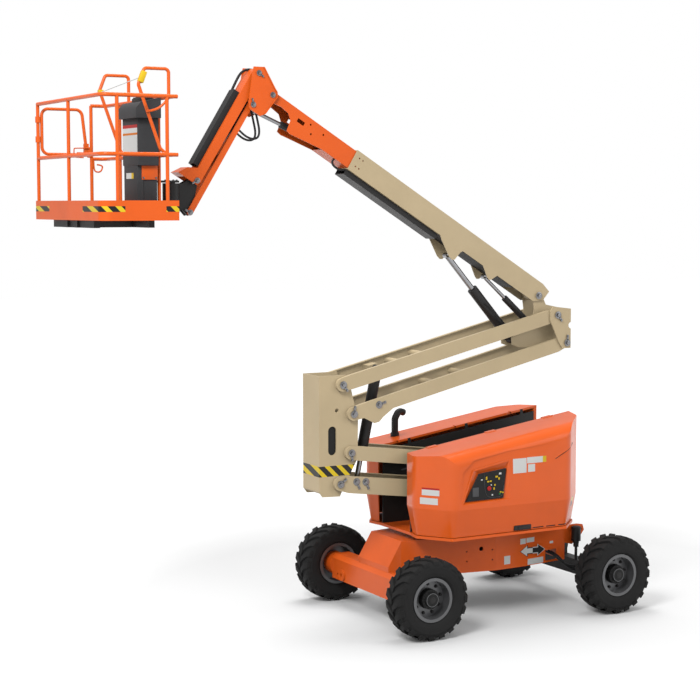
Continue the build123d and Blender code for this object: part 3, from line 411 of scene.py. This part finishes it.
sky = {"colour": (1, 1, 1, 1), "seen": 1.0, "light": 0.55}
world = bpy.data.worlds.new("studioWorld")
bpy.context.scene.world = world
world.use_nodes = True
worldNodes, worldLinks = world.node_tree.nodes, world.node_tree.links
lightPath = worldNodes.new("ShaderNodeLightPath")
whiteSky = worldNodes.new("ShaderNodeBackground")
softSky = worldNodes["Background"]
for background, strength in ((whiteSky, sky["seen"]), (softSky, sky["light"])):
    background.inputs["Color"].default_value = sky["colour"]
    background.inputs["Strength"].default_value = strength
mixSky = worldNodes.new("ShaderNodeMixShader")
worldLinks.new(lightPath.outputs["Is Camera Ray"], mixSky.inputs["Fac"])
worldLinks.new(softSky.outputs[0], mixSky.inputs[1])
worldLinks.new(whiteSky.outputs[0], mixSky.inputs[2])
worldLinks.new(mixSky.outputs[0], worldNodes["World Output"].inputs["Surface"])

lamps = {
    "keyLamp": {"place": (-9.5, -6.5, 11.0), "aim": (-1.0, 0, 2.2), "power": 900.0, "size": 4.0},
    "fillLamp": {"place": (7.5, -8.0, 6.0), "aim": (0, 0, 1.5), "power": 170.0, "size": 5.0},
    "topLamp": {"place": (0.5, 3.0, 13.0), "aim": (-0.5, 0, 2.0), "power": 600.0, "size": 7.0},
}
for name, lamp in lamps.items():
    data = bpy.data.lights.new(name, "AREA")
    data.energy = lamp["power"]
    data.size = lamp["size"]
    made = bpy.data.objects.new(name, data)
    made.location = at(*lamp["place"])
    made.rotation_euler = (at(*lamp["aim"]) - made.location).to_track_quat("-Z", "Y").to_euler()
    bpy.context.collection.objects.link(made)
bpy.context.scene.view_settings.view_transform = "Standard"
print("stage: studio ready")


# Wheels: tyres with staggered lugs, nuts and bolts on each rim, and its black hub drum
tyreForm = {"lugs": 20, "stagger": 9.0, "halfTurn": 4.1, "flare": 1.25, "steps": 80, "smooth": 30}
tyreSection = [  # half of the section, from the bead to the crown: Y, radius
    (0.112, 0.2125), (0.112, 0.2315), (0.121, 0.240), (0.136, 0.252), (0.145, 0.278), (0.1465, 0.283),
    (0.1465, 0.289), (0.1475, 0.294), (0.1485, 0.318), (0.1482, 0.333), (0.1495, 0.337), (0.1495, 0.342),
    (0.1472, 0.347), (0.1460, 0.354), (0.139, 0.374), (0.122, 0.390), (0.080, 0.3945), (0.0, 0.396),
]
lugStations = [  # Y, tip radius, root radius, sweep in degrees, width against the first station
    (0.004, 0.4180, 0.388, 0.0, 1.0), (0.052, 0.4190, 0.388, 6.0, 1.05),
    (0.104, 0.4170, 0.386, 11.0, 1.1), (0.128, 0.4110, 0.374, 12.3, 1.15),
    (0.1425, 0.3990, 0.366, 12.8, 1.15), (0.1485, 0.3800, 0.362, 12.8, 1.0),
]
rimNuts = {"count": 9, "ring": 0.150, "face": 0.012, "radius": 0.0125, "height": 0.018}
hubBolts = {"count": 10, "ring": 0.0865, "face": 0.078, "radius": 0.007, "height": 0.006}
hubCap = {"face": 0.114, "radius": 0.034, "thick": 0.006, "corners": 28, "edge": 0.0015}
hubSteps = 48
hubOutline = [  # Y from the wheel's middle plane, radius
    (0.0135, 0.1056), (0.0788, 0.1016), (0.0798, 0.098), (0.0798, 0.0775), (0.082, 0.0755), (0.104, 0.0732),
    (0.1105, 0.069), (0.1132, 0.061), (0.1132, 0.0),
]


def lug(mesh, side, start):
    rings = []
    flare = tyreForm["flare"]
    for y, tip, root, sweep, wide in lugStations:
        ring = []
        for radius, part in ((root, -flare), (root, flare), (tip, 1.0), (tip, -1.0)):
            angle = math.radians(start + sweep + part * wide * tyreForm["halfTurn"])
            ring.append(mesh.verts.new((radius * math.sin(angle), side * y, radius * math.cos(angle))))
        rings.append(ring)
    for first, second in zip(rings, rings[1:]):
        for i in range(4):
            mesh.faces.new((first[i], first[(i + 1) % 4], second[(i + 1) % 4], second[i]))
    mesh.faces.new(rings[0])
    mesh.faces.new(rings[-1])


def tyre(name, centre, body):
    mesh = bmesh.new()
    otherHalf = [(-y, radius) for y, radius in reversed(tyreSection[:-1])]
    spun(mesh, tyreSection + otherHalf, tyreForm["steps"], closed=True)
    pitch = 360 / tyreForm["lugs"]
    for i in range(tyreForm["lugs"]):
        lug(mesh, 1, i * pitch)
        lug(mesh, -1, i * pitch + tyreForm["stagger"])
    bmesh.ops.translate(mesh, vec=centre, verts=mesh.verts)
    made = piece(name, mesh, "rubber", body, tyreForm["smooth"])
    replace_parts(made, body.replace("wheel", "tyre"))


def ringOfBolts(mesh, centre, out, spec):
    for i in range(spec["count"]):
        angle = math.tau * i / spec["count"]
        spot = Vector((spec["ring"] * math.sin(angle), out * spec["face"], spec["ring"] * math.cos(angle)))
        bolt(mesh, centre + spot, (0, out, 0), spec["radius"], spec["height"])


wheels = {"drive_left": 1, "drive_right": -1, "steer_left": 1, "steer_right": -1}  # which way each faces in Y
for wheel, out in wheels.items():
    body = "wheel_" + wheel
    centre = Vector(joints[body + "_spin"]["pos_m"])
    tyre("treadTyre_" + wheel, centre, body)
    mesh = bmesh.new()
    ringOfBolts(mesh, centre, out, rimNuts)
    ringOfBolts(mesh, centre, out, hubBolts)
    cap = centre + Vector((0, out * hubCap["face"], 0))
    disc(mesh, cap, (0, out, 0), hubCap["radius"], hubCap["thick"], hubCap["corners"], soft=hubCap["edge"])
    piece("wheelNuts_" + wheel, mesh, "black", body)
for wheel, out in wheels.items():
    body = "wheel_" + wheel
    mesh = bmesh.new()
    spun(mesh, [(out * y, radius) for y, radius in hubOutline], hubSteps)
    bmesh.ops.translate(mesh, vec=Vector(joints[body + "_spin"]["pos_m"]), verts=mesh.verts)
    piece("hubDrum_" + wheel, mesh, "dark", body)
print("stage: wheels done")

# Pin keepers: washer, hex head and mostly a tail plate with its own bolt, on both sides of each pin
keeperForm = {"washer": 0.040, "head": 0.021, "headHigh": 0.013, "tail": 0.088, "half": 0.013,
              "thick": 0.006, "spot": 0.071, "tailBolt": 0.010}
keeperFinish = {"corners": 28, "edge": 0.001, "tailBoltHigh": 0.007}  # the same at every scale
keeperScale = {"bellcrank": 0.72, "fly": 0.72, "rotator": 0.72}
pinKeepers = [
    # body, X, Z, half width, tail direction
    ("upright", -1.725, 2.550, 0.234, (0.6, -0.8)),
    ("upright", -1.596, 2.239, 0.234, (0.1, 1.0)),
    ("upright", -1.624, 1.835, 0.234, (0.05, -1.0)),
    ("upright", -1.754, 1.519, 0.234, (0.75, 0.65)),
    ("riser", 0.964, 3.186, 0.256, (0.6, -0.8)),
    ("riser", 1.093, 2.875, 0.256, (0.05, 1.0)),
    ("riser", 0.787, 3.400, 0.137, None),
    ("lower_boom", -1.564, 1.530, 0.226, (0.4, -0.9)),
    ("lower_boom", -1.455, 1.521, 0.226, (0.4, -0.9)),
    ("mid_boom", -1.295, 2.320, 0.226, (0.9, 0.3)),
    ("bellcrank", -2.624, 5.698, 0.140, (0.8, -0.6)),
    ("fly", -2.474, 5.488, 0.140, None),
    ("bellcrank", -2.690, 5.386, 0.140, (-0.2, 1.0)),
    ("rotator", -3.281, 4.634, 0.098, (-0.8, -0.4)),
    ("rotator", -3.347, 4.322, 0.072, (-0.8, 0.4)),
]


def keeper(mesh, spot, out, tail, scale):
    form = {key: value * scale for key, value in keeperForm.items()}
    half, thick, edge = form["half"], form["thick"], keeperFinish["edge"]
    disc(mesh, spot + out * thick / 2, out, form["washer"], thick, keeperFinish["corners"], soft=edge)
    bolt(mesh, spot + out * thick, out, form["head"], form["headHigh"])
    if tail is None:
        return
    turn = Matrix.Rotation(-math.atan2(tail[1], tail[0]), 4, "Y")
    put = Matrix.Translation(spot + out * thick / 2) @ turn
    block(mesh, (0, -thick / 2, -half), (form["tail"], thick / 2, half), edge, put)
    bolt(mesh, put @ Vector((form["spot"], 0, 0)) + out * thick / 2, out, form["tailBolt"],
         keeperFinish["tailBoltHigh"])


for count, (body, x, z, half, tail) in enumerate(pinKeepers):
    mesh = bmesh.new()
    for side in sides:
        keeper(mesh, at(x, side * half, z), Vector((0, side, 0)), tail, keeperScale.get(body, 1.0))
    piece(f"pinKeeper_{body}_{count}", mesh, "zinc", body)
print("stage: pins done")

# Painted shade: dark sheets for the dark inside behind the mast's slots
mastSlotShade = {"low": (-1.90, 0.1605, 1.80), "high": (-1.755, 0.1625, 2.14)}
mesh = bmesh.new()
blockPair(mesh, mastSlotShade["low"], mastSlotShade["high"])
piece("mastSlotPaintedShade", mesh, "dark", "upright")

# Painted shade: a black sheet under the boom, between its lugs, for the shade inside its open underside, in
# the boom's own slanted frame
boomUndersideShade = {"slope": 31.4, "low": (-1.458, -0.1165, -0.0905), "high": (-0.332, 0.1165, -0.088)}
boomFrame = Matrix.Translation(Vector(joints["main_lift"]["pos_m"]))
boomFrame = boomFrame @ Matrix.Rotation(math.radians(boomUndersideShade["slope"]), 4, "Y")
mesh = bmesh.new()
block(mesh, boomUndersideShade["low"], boomUndersideShade["high"], place=boomFrame)
piece("boomUndersideShade", mesh, "dark", "main_boom")

# Hood: blank labels, latch, slots and seam; labels and marks are listed by look
hoodLabels = {  # x0, x1, z0, z1
    "label": [(-0.04, 0.13, 1.585, 1.74), (0.137, 0.338, 1.68, 1.745), (0.15, 0.24, 1.588, 1.67)],
    "yellow": [(0.338, 0.384, 1.68, 1.745)],
}
for look, rows in hoodLabels.items():
    mesh = bmesh.new()
    for row in rows:
        drape(mesh, "hood_right", *row)
    piece(f"hoodLabels_{look}", mesh, look, "hood_right")
cornerOut = (-0.8145, -0.58, 0)  # the hood's slanted front corner
cornerLabels = {  # first X and Y, second X and Y, z0, z1
    "label": [((-0.985, -0.577), (-0.871, -0.737), 1.396, 1.456),
              ((-0.997, -0.560), (-0.880, -0.724), 1.302, 1.37)],
    "red": [((-0.985, -0.577), (-0.871, -0.737), 1.456, 1.475)],
}
for look, rows in cornerLabels.items():
    mesh = bmesh.new()
    for first, second, z0, z1 in rows:
        corners = [at(*first, z0), at(*second, z0), at(*second, z1), at(*first, z1)]
        patch(mesh, corners, cornerOut, labelThick)
    piece(f"hoodCornerLabels_{look}", mesh, look, "hood_right")
latchBlocks = [
    # low corner, high corner, softness
    ((0.005, -0.834, 0.967), (0.222, -0.808, 1.02), 0.006),
    ((0.05, -0.842, 0.975), (0.178, -0.832, 1.004), 0.004),
]
mesh = bmesh.new()
for low, high, soft in latchBlocks:
    block(mesh, at(*low), at(*high), soft)
piece("hoodLatch", mesh, "black", "hood_right")
# Painted shade: dark strips for the shade inside the hood's slots; the seam is the hood's dark joint
hoodSlotShadeAndSeam = [
    # x0, x1, z0, z1
    (0.252, 0.389, 0.970, 0.981), (0.427, 0.545, 0.970, 0.981), (0.584, 0.700, 0.970, 0.981),
    (0.755, 0.759, 0.962, 1.249),  # seam
]
mesh = bmesh.new()
for row in hoodSlotShadeAndSeam:
    drape(mesh, "hood_right", *row)
piece("hoodSlotShadeAndSeam", mesh, "dark", "hood_right")

# Ground control panel
panel = {"corners": [(-0.611, 1.334), (-0.452, 1.609), (-0.119, 1.644), (-0.152, 1.340)], "front": -0.849,
         "thick": 0.003}
mesh = bmesh.new()
patch(mesh, [at(x, panel["front"], z) for x, z in panel["corners"]], (0, -1, 0), panel["thick"])
piece("panelFace", mesh, "dark", "hood_right")
markForm = {"front": -0.8575, "back": -0.851, "edge": 0.002}
panelMarks = {  # X, Z, half width, half height
    "grey": [(-0.500, 1.425, 0.038, 0.048)],
    "label": [(-0.196, 1.598, 0.015, 0.010), (-0.307, 1.486, 0.006, 0.008), (-0.292, 1.380, 0.008, 0.008),
              (-0.425, 1.548, 0.010, 0.006)],
    "yellow": [(-0.366, 1.561, 0.008, 0.017), (-0.345, 1.524, 0.013, 0.008), (-0.313, 1.526, 0.010, 0.008),
               (-0.240, 1.568, 0.015, 0.009), (-0.210, 1.547, 0.009, 0.012), (-0.261, 1.482, 0.008, 0.010),
               (-0.272, 1.445, 0.008, 0.012), (-0.187, 1.403, 0.010, 0.007), (-0.160, 1.396, 0.010, 0.007)],
    "green": [(-0.199, 1.384, 0.010, 0.007)],
}
for look, rows in panelMarks.items():
    mesh = bmesh.new()
    for x, z, wide, high in rows:
        low = at(x - wide, markForm["front"], z - high)
        block(mesh, low, at(x + wide, markForm["back"], z + high), markForm["edge"])
    piece(f"panelMarks_{look}", mesh, look, "hood_right")
panelLine = {"front": -0.853, "radius": 0.0022, "run": [(-0.395, 1.600), (-0.390, 1.430), (-0.345, 1.352),
                                                        (-0.190, 1.352), (-0.160, 1.375), (-0.150, 1.470)]}
panelRun = [at(x, panelLine["front"], z) for x, z in panelLine["run"]]
tube("panelOutline", panelRun, panelLine["radius"], "grey", "hood_right")
stopButton = {"place": (-0.334, -0.860, 1.452), "radius": 0.026, "tip": 0.023, "thick": 0.009,
              "corners": 32, "edge": 0.003}
mesh = bmesh.new()
disc(mesh, at(*stopButton["place"]), (0, -1, 0), stopButton["radius"], stopButton["thick"],
     stopButton["corners"], tip=stopButton["tip"], soft=stopButton["edge"])
piece("panelStopButton", mesh, "red", "hood_right")

# Painted shade: a dark line along the crease at the hood's rear; and the slats of the inner panels
crease = {"start": (0.506, 1.703), "run": (0.284, 0.141), "steps": 6, "radius": 0.0035}
creaseShadeLine = []
for i in range(crease["steps"] + 1):
    x, z = (start + run * i / crease["steps"] for start, run in zip(crease["start"], crease["run"]))
    creaseShadeLine.append(nearFace("hood_right", x, z))
tube("hoodRearCreaseShade", creaseShadeLine, crease["radius"], "dark", "hood_right")
slats = {"count": 6, "x": 0.05, "y": 0.281, "top": 1.80, "step": 0.082, "half": (0.78, 0.003, 0.009),
         "rise": 8.7, "edge": 0.001}
slatHalf = Vector(slats["half"])
slatTurn = Matrix.Rotation(math.radians(-slats["rise"]), 4, "Y")
mesh = bmesh.new()
for side in sides:
    for i in range(slats["count"]):
        spot = at(slats["x"], side * slats["y"], slats["top"] - slats["step"] * i)
        block(mesh, -slatHalf, slatHalf, slats["edge"], Matrix.Translation(spot) @ slatTurn)
piece("innerPanelSlats", mesh, "grey", "turntable")
print("stage: hood done")

# Chassis side: double arrow, blank labels and the hoses that leave the opening
chassisSide = -0.484
arrow = {"low": 0.588, "high": 0.702, "left": 0.332, "right": 0.648, "tip": 0.085, "shaft": 0.027,
         "edge": 0.009, "under": 0.0008, "over": 0.0012}


def arrowHalf(mesh, tip, grow, thick):
    back = (arrow["left"] + arrow["right"]) / 2
    sign = 1 if tip > back else -1
    mid = (arrow["low"] + arrow["high"]) / 2
    neck = tip - sign * (arrow["tip"] + grow)
    half = (arrow["high"] - arrow["low"]) / 2 + grow
    shaft = arrow["shaft"] + grow
    corners = [(tip + sign * grow, mid), (neck, mid + half), (neck, mid + shaft), (back, mid + shaft),
               (back, mid - shaft), (neck, mid - shaft), (neck, mid - half)]
    patch(mesh, [at(x, chassisSide, z) for x, z in corners], (0, -1, 0), thick)


chassisLabels = [
    # x0, x1, z0, z1
    (0.326, 0.40, 0.726, 0.787), (0.41, 0.525, 0.735, 0.787), (0.109, 0.191, 0.529, 0.62),
    (0.431, 0.660, 0.488, 0.553), (0.755, 0.805, 0.685, 0.711),
]
mesh = bmesh.new()
arrowHalf(mesh, arrow["left"], arrow["edge"], arrow["under"])
arrowHalf(mesh, arrow["right"], 0.0, arrow["over"])
piece("arrowDark", mesh, "dark", "chassis")
mesh = bmesh.new()
arrowHalf(mesh, arrow["right"], arrow["edge"], arrow["under"])
arrowHalf(mesh, arrow["left"], 0.0, arrow["over"])
for row in chassisLabels:
    drape(mesh, "chassis_frame", *row)
piece("chassisLabels", mesh, "label", "chassis")
chassisHoseRadius = 0.011
chassisHoses = [
    [(0.715, -0.40, 0.60), (0.755, -0.50, 0.58), (0.83, -0.53, 0.50), (0.93, -0.545, 0.44),
     (1.02, -0.55, 0.43)],
    [(0.755, -0.40, 0.60), (0.785, -0.50, 0.57), (0.85, -0.525, 0.49), (0.95, -0.54, 0.41),
     (1.03, -0.545, 0.40)],
    [(0.80, -0.40, 0.585), (0.82, -0.495, 0.56), (0.88, -0.52, 0.48), (0.97, -0.53, 0.39),
     (1.04, -0.54, 0.375)],
]
for count, run in enumerate(chassisHoses):
    tube(f"chassisHose_{count}", [at(*point) for point in run], chassisHoseRadius, "hose", "chassis")

# Painted shade: dark sheets behind the chassis holes, and the outer sleeves of the lock-out cylinders
holeShade = {"low": (-0.365, 0.402, 0.575), "high": (-0.015, 0.398, 0.755)}
mesh = bmesh.new()
blockPair(mesh, holeShade["low"], holeShade["high"])
piece("chassisHoleShade", mesh, "dark", "chassis")
sleeve = {"x": 1.10, "y": 0.45, "rings": [
    # z, radius, length, corners, softness
    (0.765, 0.052, 0.16, 40, 0.006), (0.676, 0.034, 0.03, 32, 0.004),
]}
mesh = bmesh.new()
for side in sides:
    for z, radius, length, corners, soft in sleeve["rings"]:
        disc(mesh, at(sleeve["x"], side * sleeve["y"], z), (0, 0, 1), radius, length, corners, soft=soft)
piece("lockoutSleeves", mesh, "black", "chassis")
print("stage: chassis side done")

# Console in the platform: a head with raised vents, a column, a pedestal and the box behind it
consoleBlocks = [
    # low corner, high corner, softness
    ((-4.100, -0.600, 4.760), (-3.890, -0.205, 5.210), 0.012),
    ((-4.095, -0.560, 4.260), (-4.030, -0.225, 4.780), 0.008),
    ((-4.030, -0.550, 4.390), (-3.888, -0.190, 4.760), 0.010),
]
consoleHead = {"far": -0.182, "wide": 0.466, "outline": [(-4.136, 5.20), (-3.886, 5.20), (-3.886, 5.39),
                                                         (-4.085, 5.346), (-4.136, 5.285)]}
vents = {"count": 7, "first": -0.60, "step": 0.06, "half": 0.012, "low": (-4.070, 5.325),
         "high": (-3.91, 5.352), "edge": 0.004}
mesh = bmesh.new()
for low, high, soft in consoleBlocks:
    block(mesh, at(*low), at(*high), soft)
headCorners = [at(x, consoleHead["far"], z) for x, z in consoleHead["outline"]]
patch(mesh, headCorners, (0, -1, 0), consoleHead["wide"])
for i in range(vents["count"]):
    y = vents["first"] + vents["step"] * i
    low = at(vents["low"][0], y - vents["half"], vents["low"][1])
    block(mesh, low, at(vents["high"][0], y + vents["half"], vents["high"][1]), vents["edge"])
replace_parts(piece("consoleBody", mesh, "plastic", "platform"), "console")
consoleStrips = {  # X, far Y, near Y, z0, z1
    "label": [(-4.100, -0.225, -0.585, 4.880, 5.045), (-4.100, -0.225, -0.585, 5.065, 5.110),
              (-4.095, -0.290, -0.420, 4.640, 4.694)],
    "hazardOrange": [(-4.100, -0.225, -0.585, 5.045, 5.065)],
    "red": [(-4.100, -0.225, -0.585, 5.110, 5.140)],
    "yellow": [(-4.095, -0.420, -0.470, 4.640, 4.694)],
}
for look, rows in consoleStrips.items():
    mesh = bmesh.new()
    for x, far, near, z0, z1 in rows:
        corners = [at(x, far, z0), at(x, near, z0), at(x, near, z1), at(x, far, z1)]
        patch(mesh, corners, (-1, 0, 0), labelThick)
    piece(f"consoleLabels_{look}", mesh, look, "platform")
cover = {"low": (-4.05, -0.562, 4.63), "high": (-3.888, -0.548, 4.83), "edge": 0.004, "inset": 0.018,
         "boltRadius": 0.007, "boltHeight": 0.005}
mesh = bmesh.new()
block(mesh, at(*cover["low"]), at(*cover["high"]), cover["edge"])
piece("consoleCover", mesh, "orange", "platform")
mesh = bmesh.new()
for x in (cover["low"][0] + cover["inset"], cover["high"][0] - cover["inset"]):
    for z in (cover["low"][2] + cover["inset"], cover["high"][2] - cover["inset"]):
        bolt(mesh, at(x, cover["low"][1], z), (0, -1, 0), cover["boltRadius"], cover["boltHeight"])
piece("consoleCoverBolts", mesh, "zinc", "platform")
ribs = {"padLow": (-4.040, -0.520, 5.350), "padHigh": (-3.900, -0.300, 5.392), "padEdge": 0.008, "count": 6,
        "step": 0.022, "low": (-4.030, -0.510, 5.388), "high": (-4.020, -0.310, 5.402), "edge": 0.002}
mesh = bmesh.new()
block(mesh, at(*ribs["padLow"]), at(*ribs["padHigh"]), ribs["padEdge"])
for i in range(ribs["count"]):
    shift = Vector((ribs["step"] * i, 0, 0))
    block(mesh, at(*ribs["low"]) + shift, at(*ribs["high"]) + shift, ribs["edge"])
piece("consoleRibs", mesh, "black", "platform")
print("stage: console done")

# Platform: trip bar pad and sensor with the cord between them, latch, handles, ring and bolts
tripPad = {"place": (-4.112, -0.75, 5.565), "lean": 22, "half": (0.026, 0.026, 0.055), "edge": 0.008}
tripSensor = {"low": (-4.165, 0.225, 5.455), "high": (-4.115, 0.275, 5.505), "edge": 0.006}
tripCord = {"radius": 0.004, "run": [(-4.115, -0.735, 5.565), (-4.128, -0.25, 5.525), (-4.14, 0.235, 5.48)]}
gateLatch = {"low": (-4.046, 0.868, 4.868), "high": (-4.004, 0.914, 4.975), "edge": 0.006}
padHalf = Vector(tripPad["half"])
padTurn = Matrix.Translation(at(*tripPad["place"])) @ Matrix.Rotation(math.radians(tripPad["lean"]), 4, "Y")
mesh = bmesh.new()
block(mesh, -padHalf, padHalf, tripPad["edge"], padTurn)
block(mesh, at(*tripSensor["low"]), at(*tripSensor["high"]), tripSensor["edge"])
piece("tripPads", mesh, "yellow", "platform")
tube("tripCord", [at(*point) for point in tripCord["run"]], tripCord["radius"], "label", "platform")
mesh = bmesh.new()
block(mesh, at(*gateLatch["low"]), at(*gateLatch["high"]), gateLatch["edge"])
piece("gateLatch", mesh, "orange", "platform")
handleRuns = {  # body, radius, points
    "gateHandle": ("gate", 0.006, [(-4.04, 0.862, 4.963), (-4.19, 0.862, 4.963), (-4.20, 0.862, 4.955),
                                   (-4.20, 0.862, 4.880), (-4.19, 0.862, 4.870), (-4.10, 0.862, 4.868)]),
    "gatePull": ("gate", 0.008, [(-4.17, 0.862, 4.915), (-4.12, 0.858, 4.912), (-4.06, 0.862, 4.915)]),
    "consoleHandle": ("platform", 0.012, [(-4.075, -0.76, 5.25), (-4.02, -0.84, 5.262),
                                          (-3.966, -0.872, 5.30), (-3.90, -0.880, 5.378)]),
    "harnessRing": ("platform", 0.008, [(-3.985, 0.885, 4.845), (-3.985, 0.885, 4.76),
                                        (-3.965, 0.885, 4.726), (-3.915, 0.885, 4.726),
                                        (-3.893, 0.885, 4.76), (-3.893, 0.885, 4.795),
                                        (-3.95, 0.885, 4.800)]),
}
for name, (body, radius, run) in handleRuns.items():
    tube(name, [at(*point) for point in run], radius, "orange", body)
supportBolts = {"x": -3.796, "y": (-0.12, 0.12), "z": (4.30, 4.42, 4.54), "radius": 0.012, "height": 0.008}
rotatorBolts = {"count": 8, "centre": (-3.519, 0, 4.632), "ring": 0.06, "radius": 0.009, "height": 0.007}
mesh = bmesh.new()
for y in supportBolts["y"]:
    for z in supportBolts["z"]:
        bolt(mesh, at(supportBolts["x"], y, z), (1, 0, 0), supportBolts["radius"], supportBolts["height"])
for i in range(rotatorBolts["count"]):
    angle = math.tau * i / rotatorBolts["count"]
    spot = at(*rotatorBolts["centre"]) + Vector((math.cos(angle), math.sin(angle), 0)) * rotatorBolts["ring"]
    bolt(mesh, spot, (0, 0, 1), rotatorBolts["radius"], rotatorBolts["height"])
piece("platformBolts", mesh, "zinc", "platform")
print("stage: platform done")

# Hoses at the elbow and the boom tray, and the line along the lift cylinder
elbowArch = {"y": 0.03, "radius": 0.013,
             "run": [(-2.86, 5.50), (-2.80, 5.62), (-2.745, 5.71), (-2.67, 5.745), (-2.60, 5.735),
                     (-2.54, 5.65), (-2.49, 5.55)]}
elbowLoops = {"y": (-0.045, 0.045), "drop": 0.012, "radius": 0.011,
              "run": [(-2.63, 5.36), (-2.60, 5.24), (-2.575, 5.12), (-2.60, 5.055), (-2.68, 5.05),
                      (-2.77, 5.10), (-2.84, 5.17)]}
trayLoop = {"y": -0.085, "radius": 0.011,
            "run": [(-1.50, 4.74), (-1.60, 4.755), (-1.70, 4.755), (-1.77, 4.80), (-1.775, 4.85),
                    (-1.74, 4.87)]}
liftLine = {"radius": 0.008, "run": [(0.47, -0.05, 2.99), (0.44, -0.085, 3.03), (0.30, -0.088, 3.165),
                                     (0.16, -0.088, 3.30), (0.12, -0.055, 3.33)]}
archRun = [at(x, elbowArch["y"], z) for x, z in elbowArch["run"]]
hose("elbowArchHose", archRun, elbowArch["radius"])
for count, y in enumerate(elbowLoops["y"]):
    points = [at(x, y, z - elbowLoops["drop"] * count) for x, z in elbowLoops["run"]]
    hose(f"elbowLoopHose_{count}", points, elbowLoops["radius"])
trayRun = [at(x, trayLoop["y"], z) for x, z in trayLoop["run"]]
tube("trayLoopHose", trayRun, trayLoop["radius"], "hose", "main_boom")
tube("liftLine", [at(*point) for point in liftLine["run"]], liftLine["radius"], "hose", "lift_barrel")
print("stage: hoses done")
